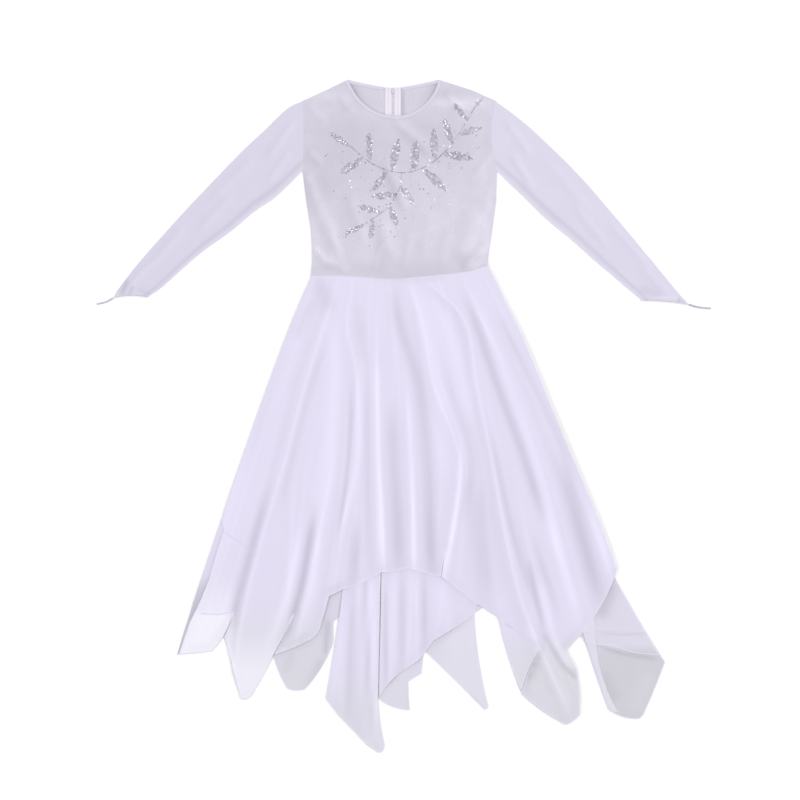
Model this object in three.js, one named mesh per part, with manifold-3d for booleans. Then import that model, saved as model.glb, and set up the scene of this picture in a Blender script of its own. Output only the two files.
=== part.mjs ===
// A long-sleeved dance dress with a pointed chiffon hem, laid flat with its front up.
// Millimetres. X runs across the dress, Y from the hem to the neck, Z up from the surface it lies on.
import * as THREE from "three";
import { mergeVertices } from "three/addons/utils/BufferGeometryUtils.js";
import Module from "manifold-3d";

// Walls and gaps
const CLOTH = 1.0;
const SEAM_GAP = 0.3;
const LAYER_GAP = 0.4;
const LAYER_PITCH = CLOTH + LAYER_GAP;
const TRIM_GAP = 0.8;
const BODICE_LEVEL = CLOTH + SEAM_GAP;
const SKIRT_LEVEL = {
  backOuter: 0,
  backUnder: LAYER_PITCH,
  frontUnder: 2 * LAYER_PITCH,
  frontOuter: 3 * LAYER_PITCH,
};

// Loft of the cloth above what it lies on
const BODICE_PUFF = 3;
const NECK_PUFF_SHARE = 0.6;
const NECK_FADE = 70;
const ARMHOLE_RISE = 1.6;
const WAIST_FADE = 60;
const WAIST_RISE = SKIRT_LEVEL.frontOuter - BODICE_LEVEL;
const UNDER_SHARE = 0.22;

// Trim
const BAND_WIDTH = 6;
const ZIP_X = -14;
const ZIP_TAPE_WIDTH = 13;
const ZIP_COIL_WIDTH = 5;
const ZIP_TOP = 367;
const ZIP_BOTTOM = 22;
const ZIP_COIL_THICK = 1.2;
const SLIDER = { width: 7, length: 11, thick: 2.4, bevel: 0.4 };
const LOOP = { cord: 1.2, apart: 0.8, clear: 0.05 };

// Waist seam, from left to right
const WAIST = [
  { x: -177, y: -8 },
  { x: -112, y: -8 },
  { x: -18, y: -14 },
  { x: 35, y: -10 },
  { x: 123, y: -1 },
  { x: 175, y: 13 },
];

// Edges of the bodice by height: the side seam, then the armhole from the underarm up, then the shoulder
const BODICE_EDGES = [
  { y: -15, left: -177, right: 174 },
  { y: 20, left: -175, right: 175 },
  { y: 82, left: -178, right: 184 },
  { y: 140, left: -187, right: 192 },
  { y: 202, left: -195, right: 194 },
  { y: 226, left: -194, right: 185 },
  { y: 262, left: -193, right: 183 },
  { y: 304, left: -193, right: 186 },
  { y: 342, left: -194, right: 190 },
  { y: 363, left: -148, right: 143 },
  { y: 384, left: -105, right: 77 },
];
const UNDERARM = 202;
const SHOULDER = 342;

// Front neckline from the left shoulder to the right one, and the higher neckline of the back
const FRONT_NECK = [
  { x: -105, y: 384 },
  { x: -84, y: 348 },
  { x: -53, y: 322 },
  { x: -18, y: 312 },
  { x: 17, y: 315 },
  { x: 49, y: 334 },
  { x: 69, y: 360 },
  { x: 77, y: 384 },
];
const BACK_NECK = [
  { x: -105, y: 384 },
  { x: -66, y: 375 },
  { x: -30, y: 369 },
  { x: 2, y: 369 },
  { x: 38, y: 375 },
  { x: 77, y: 384 },
];
const BACK_BAND_ENDS = { left: -90, right: 64 };

// Creases of the bodice and the sleeves: from one end to the other, height and half width
const CREASES = [
  { x1: -190, y1: 196, x2: -171, y2: 146, lift: 3.0, wide: 12 },
  { x1: -171, y1: 146, x2: -127, y2: 38, lift: 3.0, wide: 14 },
  { x1: -12, y1: 304, x2: 64, y2: 237, lift: 3.0, wide: 12 },
  { x1: -27, y1: 216, x2: 11, y2: 128, lift: 3.0, wide: 12 },
  { x1: -59, y1: 126, x2: -10, y2: 23, lift: 2.4, wide: 18 },
  { x1: 152, y1: 124, x2: 122, y2: 24, lift: 2.6, wide: 20 },
  { x1: 176, y1: 62, x2: 128, y2: 8, lift: 3.2, wide: 10 },
  { x1: -166, y1: 26, x2: -104, y2: 4, lift: 2.4, wide: 10 },
  { x1: -228, y1: 286, x2: -318, y2: 176, lift: 1.2, wide: 16 },
  { x1: -240, y1: 186, x2: -330, y2: 120, lift: 1.2, wide: 12 },
  { x1: -372, y1: 132, x2: -462, y2: 30, lift: 1.2, wide: 14 },
  { x1: 226, y1: 282, x2: 322, y2: 178, lift: 1.2, wide: 16 },
  { x1: 238, y1: 186, x2: 330, y2: 104, lift: 1.2, wide: 12 },
  { x1: 372, y1: 128, x2: 470, y2: 22, lift: 1.2, wide: 14 },
];

// Sections of the sleeves from the armhole to the cuff: the two ends of the flattened tube, how far the
// section bows along the sleeve, and the puff at its middle
const LEFT_SLEEVE = [
  { outerX: -194.2, outerY: 342, innerX: -195.2, innerY: 202, bow: 1, puff: 1.6 },
  { outerX: -226, outerY: 326, innerX: -215, innerY: 182, bow: 3, puff: 2.2 },
  { outerX: -270, outerY: 284, innerX: -250, innerY: 149, bow: 3, puff: 2.4 },
  { outerX: -318, outerY: 239, innerX: -292, innerY: 120, bow: 2, puff: 2.4 },
  { outerX: -375, outerY: 180, innerX: -341, innerY: 79, bow: 2, puff: 2.3 },
  { outerX: -430, outerY: 122, innerX: -388, innerY: 46, bow: 2, puff: 2.2 },
  { outerX: -478, outerY: 69, innerX: -432, innerY: 9, bow: 2, puff: 2.1 },
  { outerX: -526, outerY: 14, innerX: -474, innerY: -29, bow: 2, puff: 2.0 },
  { outerX: -560, outerY: -30, innerX: -498, innerY: -46, bow: 0, puff: 1.9 },
  { outerX: -573, outerY: -52, innerX: -504, innerY: -51, bow: 5, puff: 1.8 },
];
const RIGHT_SLEEVE = [
  { outerX: 190.2, outerY: 342, innerX: 194.2, innerY: 202, bow: 9, puff: 1.6 },
  { outerX: 224, outerY: 317, innerX: 216, innerY: 180, bow: 5, puff: 2.2 },
  { outerX: 260, outerY: 288, innerX: 243, innerY: 155, bow: 3, puff: 2.4 },
  { outerX: 314, outerY: 237, innerX: 293, innerY: 106, bow: 2, puff: 2.4 },
  { outerX: 366, outerY: 184, innerX: 346, innerY: 62, bow: 2, puff: 2.3 },
  { outerX: 418, outerY: 124, innerX: 392, innerY: 21, bow: 2, puff: 2.2 },
  { outerX: 462, outerY: 72, innerX: 424, innerY: -6, bow: 2, puff: 2.1 },
  { outerX: 510, outerY: 14, innerX: 452, innerY: -30, bow: 2, puff: 2.0 },
  { outerX: 556, outerY: -42, innerX: 476, innerY: -50, bow: 1, puff: 1.9 },
  { outerX: 577, outerY: -65, innerX: 482, innerY: -57, bow: 3, puff: 1.8 },
];
const SLEEVE_STEPS = 18;
const SLEEVE_TOP = [0.03, 0.12, 0.24, 0.36, 0.5, 0.64, 0.76, 0.88, 0.97];
const SLEEVE_UNDER = [0.03, 0.35, 0.65, 0.97];

// Finger loops, from the point of the cuff to their ends
const LEFT_LOOP = [
  { x: -573.1, y: -52.2 },
  { x: -588, y: -60 },
  { x: -605, y: -64 },
];
const RIGHT_LOOP = [
  { x: 577.2, y: -65.0 },
  { x: 596, y: -70.5 },
  { x: 620, y: -73 },
];

// Side edges of the skirt, from the waist down
const SKIRT_LEFT = [
  { x: -177, y: -8 },
  { x: -213, y: -92 },
  { x: -278, y: -268 },
  { x: -353, y: -483 },
  { x: -410, y: -652 },
  { x: -446, y: -765 },
];
const SKIRT_RIGHT = [
  { x: 175, y: 13 },
  { x: 190, y: -16 },
  { x: 209, y: -56 },
  { x: 247, y: -136 },
  { x: 313, y: -296 },
  { x: 396, y: -496 },
  { x: 430, y: -590 },
  { x: 429, y: -609 },
];

// Hems from left to right, a row for each corner. The edge to the next corner bows outwards by bow.
const BACK_OUTER_HEM = [
  { x: -446, y: -765, bow: 1 },
  { x: -376, y: -758, bow: 1 },
  { x: -353, y: -728, bow: 0 },
  { x: -337, y: -778, bow: 1 },
  { x: -318, y: -852, bow: 4 },
  { x: -298, y: -848, bow: 2 },
  { x: -254, y: -766, bow: 3 },
  { x: -226, y: -833, bow: 3 },
  { x: -190, y: -835, bow: 6 },
  { x: -133, y: -740, bow: 0 },
  { x: -133, y: -700, bow: 0 },
  { x: -122, y: -690, bow: -2 },
  { x: -149, y: -852, bow: 4 },
  { x: -40, y: -961, bow: 2 },
  { x: -31, y: -944, bow: -2 },
  { x: -44, y: -853, bow: 3 },
  { x: 0, y: -874, bow: 1 },
  { x: 20, y: -876, bow: -1 },
  { x: 17, y: -819, bow: 0 },
  { x: 43, y: -803, bow: 0 },
  { x: 48, y: -757, bow: -1 },
  { x: 168, y: -875, bow: 2 },
  { x: 177, y: -869, bow: -5 },
  { x: 149, y: -683, bow: 0 },
  { x: 167, y: -671, bow: 0 },
  { x: 196, y: -692, bow: 4 },
  { x: 243, y: -845, bow: 4 },
  { x: 333, y: -906, bow: 2 },
  { x: 359, y: -885, bow: 3 },
  { x: 352, y: -792, bow: 0 },
  { x: 331, y: -757, bow: 0 },
  { x: 363, y: -717, bow: 2 },
  { x: 416, y: -875, bow: 5 },
  { x: 485, y: -895, bow: 2 },
  { x: 530, y: -780, bow: -2 },
  { x: 429, y: -609, bow: 0 },
];
const BACK_UNDER_HEM = [
  { x: -411, y: -656, bow: 0 },
  { x: -330, y: -652, bow: 0 },
  { x: -316, y: -740, bow: 0 },
  { x: -262, y: -742, bow: 0 },
  { x: -184, y: -716, bow: 0 },
  { x: -166, y: -632, bow: 0 },
  { x: -102, y: -614, bow: 0 },
  { x: -130, y: -830, bow: 0 },
  { x: -58, y: -856, bow: 0 },
  { x: 0, y: -786, bow: 0 },
  { x: 60, y: -722, bow: 0 },
  { x: 150, y: -656, bow: 0 },
  { x: 206, y: -684, bow: 0 },
  { x: 262, y: -728, bow: 0 },
  { x: 352, y: -716, bow: 0 },
  { x: 370, y: -742, bow: 1 },
  { x: 427, y: -747, bow: 1 },
  { x: 461, y: -760, bow: 1 },
  { x: 518, y: -766, bow: -2 },
  { x: 429, y: -609, bow: 0 },
];
const FRONT_UNDER_HEM = [
  { x: -420, y: -683, bow: 0 },
  { x: -398, y: -684, bow: 1 },
  { x: -334, y: -678, bow: 0 },
  { x: -310, y: -742, bow: 0 },
  { x: -264, y: -744, bow: 0 },
  { x: -188, y: -720, bow: 0 },
  { x: -162, y: -626, bow: 0 },
  { x: -112, y: -606, bow: 0 },
  { x: -114, y: -634, bow: -2 },
  { x: -149, y: -852, bow: 4 },
  { x: -40, y: -961, bow: 2 },
  { x: -31, y: -944, bow: -2 },
  { x: -45, y: -853, bow: 0 },
  { x: -38.5, y: -578, bow: 0 },
  { x: -34.5, y: -578, bow: 0 },
  { x: -39, y: -850, bow: -4 },
  { x: 5, y: -797, bow: 1 },
  { x: 40, y: -773, bow: 0 },
  { x: 67, y: -736, bow: 2 },
  { x: 149, y: -683, bow: 0 },
  { x: 160, y: -650, bow: 0 },
  { x: 204, y: -672, bow: 0 },
  { x: 300, y: -722, bow: 0 },
  { x: 360, y: -700, bow: 0 },
  { x: 424, y: -600, bow: 0 },
];
const FRONT_OUTER_HEM = [
  { x: -356, y: -492, bow: 0 },
  { x: -352, y: -518, bow: 0 },
  { x: -369, y: -569, bow: 0 },
  { x: -382, y: -616, bow: 0 },
  { x: -400, y: -660, bow: 0 },
  { x: -420, y: -700, bow: 0 },
  { x: -442, y: -764, bow: 1 },
  { x: -376, y: -758, bow: 1 },
  { x: -353, y: -728, bow: 0 },
  { x: -337, y: -778, bow: 1 },
  { x: -318, y: -852, bow: 4 },
  { x: -298, y: -848, bow: 2 },
  { x: -254, y: -766, bow: 2 },
  { x: -178, y: -734, bow: 2 },
  { x: -160, y: -712, bow: 0 },
  { x: -142, y: -648, bow: 0 },
  { x: -113, y: -634, bow: 3 },
  { x: -37, y: -600, bow: 2 },
  { x: 14, y: -591, bow: 1 },
  { x: 83, y: -609, bow: 1 },
  { x: 136, y: -649, bow: 1 },
  { x: 192, y: -688, bow: 0 },
  { x: 197, y: -696, bow: 4 },
  { x: 242, y: -837, bow: 0 },
  { x: 251, y: -806, bow: 0 },
  { x: 275.5, y: -752, bow: 0 },
  { x: 254, y: -808, bow: 0 },
  { x: 247, y: -847, bow: 2 },
  { x: 333, y: -906, bow: 2 },
  { x: 359, y: -885, bow: 3 },
  { x: 352, y: -792, bow: 0 },
  { x: 331, y: -757, bow: 2 },
  { x: 387, y: -691, bow: 3 },
  { x: 429, y: -609, bow: 0 },
];

// Folds of the skirt. Each crest has its X at these heights, the stretch where it stands up, its height,
// and how wide its left and right slopes are.
const FOLD_LEVELS = [0, -90, -225, -375, -525, -675, -900];
const LEFT_MARGIN = { crest: [-185, -222, -271, -326, -375, -426, -506] };
const RIGHT_MARGIN = { crest: [184, 234, 294, 354, 416, 482, 566] };
const FOLDS = [
  { crest: [-146, -185, -232, -275, -322, -368, -420], from: -40, to: -720, lift: 3.0, left: 28, right: 28 },
  { crest: [-116, -146, -189, -229, -274, -311, -350], from: 0, to: -860, lift: 9.0, left: 15, right: 34 },
  { crest: [-110, -134, -160, -206, -216, -228, -262], from: -370, to: -760, lift: 4.0, left: 10, right: 22 },
  { crest: [-104, -122, -126, -134, -162, -194, -236], from: -330, to: -800, lift: 7.0, left: 9, right: 30 },
  { crest: [-98, -107, -85, -97, -116, -136, -150], from: -40, to: -760, lift: 6.0, left: 16, right: 26 },
  { crest: [-48, -47, -45, -42, -33, -30, -36], from: -60, to: -700, lift: 7.0, left: 18, right: 12 },
  { crest: [-12, 0, 14, 18, 31, 33, 20], from: -200, to: -760, lift: 4.5, left: 16, right: 10 },
  { crest: [4, 42, 67, 119, 104, 80, 60], from: 0, to: -780, lift: 7.0, left: 26, right: 12 },
  { crest: [30, 124, 152, 183, 210, 248, 345], from: 10, to: -900, lift: 10.0, left: 9, right: 34 },
  { crest: [95, 160, 222, 275, 318, 352, 420], from: -10, to: -560, lift: 5.0, left: 22, right: 28 },
  { crest: [160, 208, 268, 331, 391, 438, 486], from: -40, to: -700, lift: 3.5, left: 20, right: 26 },
];
// Folds of the under layer, below the hem of the outer one
const UNDER_FOLDS = [
  { crest: [-90, -92, -94, -96, -100, -108, -122], from: -634, to: -880, lift: 4.0, left: 12, right: 20 },
  { crest: [-52, -54, -56, -57, -58, -58, -62], from: -618, to: -960, lift: 4.5, left: 20, right: 10 },
  { crest: [-26, -26, -26, -26, -26, -22, -18], from: -610, to: -860, lift: 4.0, left: 8, right: 16 },
  { crest: [22, 24, 26, 28, 30, 34, 36], from: -606, to: -800, lift: 3.5, left: 14, right: 14 },
  { crest: [92, 92, 92, 92, 94, 96, 100], from: -634, to: -740, lift: 3.0, left: 14, right: 14 },
  { crest: [206, 206, 206, 206, 206, 216, 238], from: -748, to: -850, lift: 2.5, left: 10, right: 16 },
];
const FOLD_FADE = 120;
const UNDER_FADE = 60;
const CREST_ROUND = 0.06;
const OUTER_GRID = { rows: 17, splits: [0, 0.22, 0.5, 0.78] };
const UNDER_GRID = { rows: 14, splits: [0, 0.3, 0.7] };
const SKIRT_TOP = 20;
const SKIRT_END = -966;

// Where prisms that cut the cloth start and end, and how far a half of the bodice reaches from the zip
const CUT_LOW = -10;
const CUT_HIGH = 60;
const HALF_REACH = { x: 300, low: -100, high: 500 };

// Points along the smooth edges
const WAIST_POINTS = 14;
const FRONT_NECK_POINTS = 32;
const BACK_NECK_POINTS = 20;
const BACK_BAND_POINTS = 40;
const SKIRT_SIDE_POINTS = 18;
const BOW_POINTS = 4;
const LOOP_POINTS = 6;
const LOOP_STEPS = 20;

// How far a layer sinks at its points, where the layers under it end
const SETTLE = {
  frontOuter: { from: -745, to: -800, sink: 2.6 },
  frontUnder: { from: -860, to: -920, sink: 1.2 },
};

const smoothstep = THREE.MathUtils.smoothstep;
const clamp = THREE.MathUtils.clamp;

// The cubic through a table of falling or rising levels, read at one level
function through(levels, values, at) {
  const rising = levels[levels.length - 1] > levels[0];
  let i = 0;
  while (i < levels.length - 2 && (rising ? at > levels[i + 1] : at < levels[i + 1])) i += 1;
  const slope = (k) => {
    const a = Math.max(k - 1, 0);
    const b = Math.min(k + 1, levels.length - 1);
    return (values[b] - values[a]) / (levels[b] - levels[a]);
  };
  const span = levels[i + 1] - levels[i];
  const t = clamp((at - levels[i]) / span, 0, 1);
  const t2 = t * t;
  const t3 = t2 * t;
  return (
    (2 * t3 - 3 * t2 + 1) * values[i] +
    (t3 - 2 * t2 + t) * span * slope(i) +
    (3 * t2 - 2 * t3) * values[i + 1] +
    (t3 - t2) * span * slope(i + 1)
  );
}

// The straight run through a table of rising levels, read at one level
function linear(levels, values, at) {
  let i = 0;
  while (i < levels.length - 2 && at > levels[i + 1]) i += 1;
  const t = clamp((at - levels[i]) / (levels[i + 1] - levels[i]), 0, 1);
  return values[i] + (values[i + 1] - values[i]) * t;
}

const column = (rows, name) => rows.map((row) => row[name]);

// A smooth run of points through the rows of a table
function smoothRun(rows, count) {
  const curve = new THREE.SplineCurve(rows.map((row) => new THREE.Vector2(row.x, row.y)));
  return curve.getSpacedPoints(count);
}

// A run of corners whose edges bow outwards, outwards being to the right of the way along the hem
function bowedRun(rows, pieces) {
  const points = [];
  rows.slice(0, -1).forEach((row, i) => {
    const next = rows[i + 1];
    const along = new THREE.Vector2(next.x - row.x, next.y - row.y);
    const out = new THREE.Vector2(along.y, -along.x).normalize();
    const steps = row.bow === 0 ? 1 : pieces;
    for (let k = 0; k < steps; k += 1) {
      const t = k / steps;
      const bow = row.bow * 4 * t * (1 - t);
      points.push(new THREE.Vector2(row.x + along.x * t + out.x * bow, row.y + along.y * t + out.y * bow));
    }
  });
  const last = rows[rows.length - 1];
  points.push(new THREE.Vector2(last.x, last.y));
  return points;
}

// Height of one crease at a point: a soft ridge round the line between its two ends
function creaseHeight(crease, x, y) {
  const dx = crease.x2 - crease.x1;
  const dy = crease.y2 - crease.y1;
  const length = Math.hypot(dx, dy);
  const t = ((x - crease.x1) * dx + (y - crease.y1) * dy) / (length * length);
  const off = ((x - crease.x1) * dy - (y - crease.y1) * dx) / length;
  const ends = smoothstep(t, -0.15, 0.2) * (1 - smoothstep(t, 0.8, 1.15));
  return crease.lift * ends * Math.exp(-((off / crease.wide) ** 2));
}

const creases = (x, y) => CREASES.reduce((sum, crease) => sum + creaseHeight(crease, x, y), 0);

const edgeLevels = column(BODICE_EDGES, "y");
const leftEdges = column(BODICE_EDGES, "left");
const rightEdges = column(BODICE_EDGES, "right");
const neckLine = smoothRun(FRONT_NECK, FRONT_NECK_POINTS);

// Height of the underside of the bodice front above the surface
function bodiceHeight(x, y) {
  const left = linear(edgeLevels, leftEdges, y);
  const right = linear(edgeLevels, rightEdges, y);
  const across = clamp((x - left) / (right - left), 0, 1);
  const middle = Math.sin(Math.PI * across) ** 0.8;
  const below = Math.min(...neckLine.map((p) => Math.hypot(p.x - x, p.y - y)));
  const neck = NECK_PUFF_SHARE + (1 - NECK_PUFF_SHARE) * smoothstep(below, 0, NECK_FADE);
  const arm = clamp((y - UNDERARM) / (SHOULDER - UNDERARM), 0, 1);
  const seam = ARMHOLE_RISE * Math.sin(Math.PI * arm) * (1 - middle);
  const waist = WAIST_RISE * (1 - smoothstep(y, -10, WAIST_FADE));
  const puff = BODICE_PUFF * middle * neck * smoothstep(y, -40, 90);
  const folds = creases(x, y) * smoothstep(middle, 0, 0.5) * smoothstep(below, 0, 30);
  return BODICE_LEVEL + seam + waist + puff + folds;
}

// Height of the folds of the skirt: sharp crests with hollow slopes
function foldHeight(folds, fade, x, y) {
  return folds.reduce((sum, fold) => {
    const off = x - through(FOLD_LEVELS, fold.crest, y);
    const far = off / (off < 0 ? fold.left : fold.right);
    const slope = Math.exp(Math.sqrt(CREST_ROUND) - Math.sqrt(far * far + CREST_ROUND));
    const start = smoothstep(fold.from - y, -0.15 * fade, fade);
    const end = 1 - smoothstep(fold.to - y, -fade, fade);
    return sum + fold.lift * slope * start * end;
  }, 0);
}

// Height of the underside of the two front layers of the skirt above the surface
const settled = (settle, y) => settle.sink * smoothstep(-y, -settle.from, -settle.to);

function outerHeight(x, y) {
  return SKIRT_LEVEL.frontOuter + foldHeight(FOLDS, FOLD_FADE, x, y) - settled(SETTLE.frontOuter, y);
}

function underHeight(x, y) {
  const shared = UNDER_SHARE * foldHeight(FOLDS, FOLD_FADE, x, y);
  const own = foldHeight(UNDER_FOLDS, UNDER_FADE, x, y);
  return SKIRT_LEVEL.frontUnder + shared + own - settled(SETTLE.frontUnder, y);
}

// Solids
const wasm = await Module();
wasm.setup();

function toSolid(geometry) {
  const plain = geometry.clone();
  plain.deleteAttribute("normal");
  plain.deleteAttribute("uv");
  const merged = mergeVertices(plain, 1e-4);
  return new wasm.Manifold(
    new wasm.Mesh({
      numProp: 3,
      vertProperties: new Float32Array(merged.attributes.position.array),
      triVerts: new Uint32Array(merged.index.array),
    }),
  );
}

function toGeometry(solid) {
  const mesh = solid.getMesh();
  const geometry = new THREE.BufferGeometry();
  geometry.setAttribute("position", new THREE.BufferAttribute(mesh.vertProperties, 3));
  geometry.setIndex(new THREE.BufferAttribute(mesh.triVerts, 1));
  geometry.computeVertexNormals();
  return geometry;
}

function fromLists(positions, triangles) {
  const geometry = new THREE.BufferGeometry();
  geometry.setAttribute("position", new THREE.Float32BufferAttribute(positions, 3));
  geometry.setIndex(triangles);
  return geometry;
}

// A prism that stands on an outline
function prism(outline, low, high) {
  const geometry = new THREE.ExtrudeGeometry(new THREE.Shape(outline), {
    depth: high - low,
    bevelEnabled: false,
  });
  geometry.translate(0, 0, low);
  return geometry;
}

// A closed wall over a grid of points: the grid is its underside, and the top lies one thickness higher
function wall(grid, thickness) {
  const rows = grid.length;
  const columns = grid[0].length;
  const positions = [];
  const triangles = [];
  [0, thickness].forEach((up) => {
    grid.flat().forEach((p) => positions.push(p.x, p.y, p.z + up));
  });
  const at = (r, c, side) => side * rows * columns + r * columns + c;
  const quad = (a, b, c, d) => triangles.push(a, b, c, a, c, d);
  for (let r = 0; r < rows - 1; r += 1) {
    for (let c = 0; c < columns - 1; c += 1) {
      quad(at(r, c, 1), at(r + 1, c, 1), at(r + 1, c + 1, 1), at(r, c + 1, 1));
      quad(at(r, c, 0), at(r, c + 1, 0), at(r + 1, c + 1, 0), at(r + 1, c, 0));
    }
  }
  for (let c = 0; c < columns - 1; c += 1) {
    quad(at(0, c, 0), at(0, c, 1), at(0, c + 1, 1), at(0, c + 1, 0));
    quad(at(rows - 1, c + 1, 0), at(rows - 1, c + 1, 1), at(rows - 1, c, 1), at(rows - 1, c, 0));
  }
  for (let r = 0; r < rows - 1; r += 1) {
    quad(at(r + 1, 0, 0), at(r + 1, 0, 1), at(r, 0, 1), at(r, 0, 0));
    quad(at(r, columns - 1, 0), at(r, columns - 1, 1), at(r + 1, columns - 1, 1), at(r + 1, columns - 1, 0));
  }
  return fromLists(positions, triangles);
}

function rectangle(left, low, right, high) {
  return [
    new THREE.Vector2(left, low),
    new THREE.Vector2(right, low),
    new THREE.Vector2(right, high),
    new THREE.Vector2(left, high),
  ];
}

function cutTo(geometry, outline) {
  return toGeometry(toSolid(geometry).intersect(toSolid(prism(outline, CUT_LOW, CUT_HIGH))));
}

// Outlines
const shifted = (points, dx, dy) => points.map((p) => new THREE.Vector2(p.x + dx, p.y + dy));

// One side of the bodice: the side seam, the armhole along the head of the sleeve, and the shoulder
function bodiceSide(side, rows) {
  const inwards = side === "left" ? SEAM_GAP : -SEAM_GAP;
  const edges = BODICE_EDGES.slice(1, -1).map((row) => new THREE.Vector2(row[side], row.y));
  const head = [1, ...[...SLEEVE_TOP].reverse(), 0].map((t) => {
    const p = sleevePoint(rows, 0, t);
    return new THREE.Vector2(p.x + inwards, p.y);
  });
  return [
    ...edges.filter((p) => p.y < UNDERARM),
    ...head,
    ...edges.filter((p) => p.y > SHOULDER),
  ];
}

function bodiceOutline(neck) {
  const waist = shifted(smoothRun(WAIST, WAIST_POINTS), 0, SEAM_GAP / 2);
  const right = bodiceSide("right", RIGHT_SLEEVE);
  const left = bodiceSide("left", LEFT_SLEEVE).reverse();
  return [...waist, ...right, ...[...neck].reverse(), ...left];
}

function skirtOutline(hem) {
  const waist = shifted(smoothRun(WAIST, WAIST_POINTS), 0, -SEAM_GAP / 2);
  const hemLeft = hem[0].y;
  const hemRight = hem[hem.length - 1].y;
  const left = smoothRun(SKIRT_LEFT, SKIRT_SIDE_POINTS).filter((p) => p.y > hemLeft + 4 && p.y < -20);
  const right = smoothRun(SKIRT_RIGHT, SKIRT_SIDE_POINTS).filter((p) => p.y > hemRight + 9 && p.y < 0);
  return [...left, ...bowedRun(hem, BOW_POINTS), ...right.reverse(), ...waist.reverse()];
}

// Bodice
const FRONT_GRID = { left: -200, right: 200, low: -20, high: 392, columns: 19, rows: 19 };

function bodiceFront() {
  const grid = [];
  for (let r = 0; r <= FRONT_GRID.rows; r += 1) {
    const y = FRONT_GRID.high + ((FRONT_GRID.low - FRONT_GRID.high) * r) / FRONT_GRID.rows;
    const row = [];
    for (let c = 0; c <= FRONT_GRID.columns; c += 1) {
      const x = FRONT_GRID.left + ((FRONT_GRID.right - FRONT_GRID.left) * c) / FRONT_GRID.columns;
      row.push(new THREE.Vector3(x, y, bodiceHeight(x, y)));
    }
    grid.push(row);
  }
  return cutTo(wall(grid, CLOTH), bodiceOutline(neckLine));
}

function bodiceBack(side) {
  const near = ZIP_X + side * (SEAM_GAP / 2);
  const far = ZIP_X + side * HALF_REACH.x;
  const half = rectangle(Math.min(near, far), HALF_REACH.low, Math.max(near, far), HALF_REACH.high);
  const whole = prism(bodiceOutline(smoothRun(BACK_NECK, BACK_NECK_POINTS)), 0, CLOTH);
  return cutTo(whole, half);
}

// The way along a run of points at one of them
function wayAt(line, i) {
  const before = line[Math.max(i - 1, 0)];
  const after = line[Math.min(i + 1, line.length - 1)];
  return new THREE.Vector2(after.x - before.x, after.y - before.y).normalize();
}

// A band below a line: one edge is the line, the other lies a band's width to the right of the way along
function band(line, heightAt) {
  const grid = [0, BAND_WIDTH].map((off) =>
    line.map((p, i) => {
      const along = wayAt(line, i);
      const x = p.x + along.y * off;
      const y = p.y - along.x * off;
      return new THREE.Vector3(x, y, heightAt(x, y));
    }),
  );
  return wall(grid, CLOTH);
}

function frontBand() {
  return band(neckLine.slice(1, -1), (x, y) => bodiceHeight(x, y) + CLOTH + TRIM_GAP);
}

function backBand(from, to) {
  const line = smoothRun(BACK_NECK, BACK_BAND_POINTS).filter((p) => p.x > from && p.x < to);
  return band(line, () => BODICE_LEVEL);
}

// Zip, lying on the inner side of the back
function zipStrip(from, to, thick) {
  const outline = rectangle(from, ZIP_BOTTOM, to, ZIP_TOP - SLIDER.length);
  return prism(outline, BODICE_LEVEL, BODICE_LEVEL + thick);
}

function zipSlider() {
  const half = SLIDER.width / 2;
  const low = ZIP_TOP - SLIDER.length + SEAM_GAP;
  const shape = new THREE.Shape([
    new THREE.Vector2(ZIP_X - half * 0.6, low),
    new THREE.Vector2(ZIP_X + half * 0.6, low),
    new THREE.Vector2(ZIP_X + half, ZIP_TOP - 3),
    new THREE.Vector2(ZIP_X + half * 0.7, ZIP_TOP - 1),
    new THREE.Vector2(ZIP_X - half * 0.7, ZIP_TOP - 1),
    new THREE.Vector2(ZIP_X - half, ZIP_TOP - 3),
  ]);
  const geometry = new THREE.ExtrudeGeometry(shape, {
    depth: SLIDER.thick - 2 * SLIDER.bevel,
    bevelEnabled: true,
    bevelThickness: SLIDER.bevel,
    bevelSize: SLIDER.bevel,
    bevelOffset: -SLIDER.bevel,
    bevelSegments: 1,
  });
  geometry.translate(0, 0, BODICE_LEVEL + SLIDER.bevel);
  return geometry;
}

// Sleeves: a flattened tube with rounded edges, open at the armhole and at the cuff
function sleevePoint(rows, s, t) {
  const levels = rows.map((_, i) => i);
  const read = (name) => through(levels, column(rows, name), s);
  const outer = new THREE.Vector2(read("outerX"), read("outerY"));
  const inner = new THREE.Vector2(read("innerX"), read("innerY"));
  const along = inner.clone().sub(outer).normalize();
  const side = Math.sign(rows[0].outerX);
  const bow = read("bow") * 4 * t * (1 - t);
  return {
    x: outer.x + (inner.x - outer.x) * t + side * along.y * bow,
    y: outer.y + (inner.y - outer.y) * t - side * along.x * bow,
    along,
    puff: read("puff"),
    width: inner.distanceTo(outer),
  };
}

function sleeveHeight(rows, s, t) {
  const p = sleevePoint(rows, s, t);
  const head = smoothstep(s, 0, 1.5);
  return BODICE_LEVEL + p.puff * Math.sin(Math.PI * t) ** 0.8 + head * creases(p.x, p.y);
}

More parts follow.
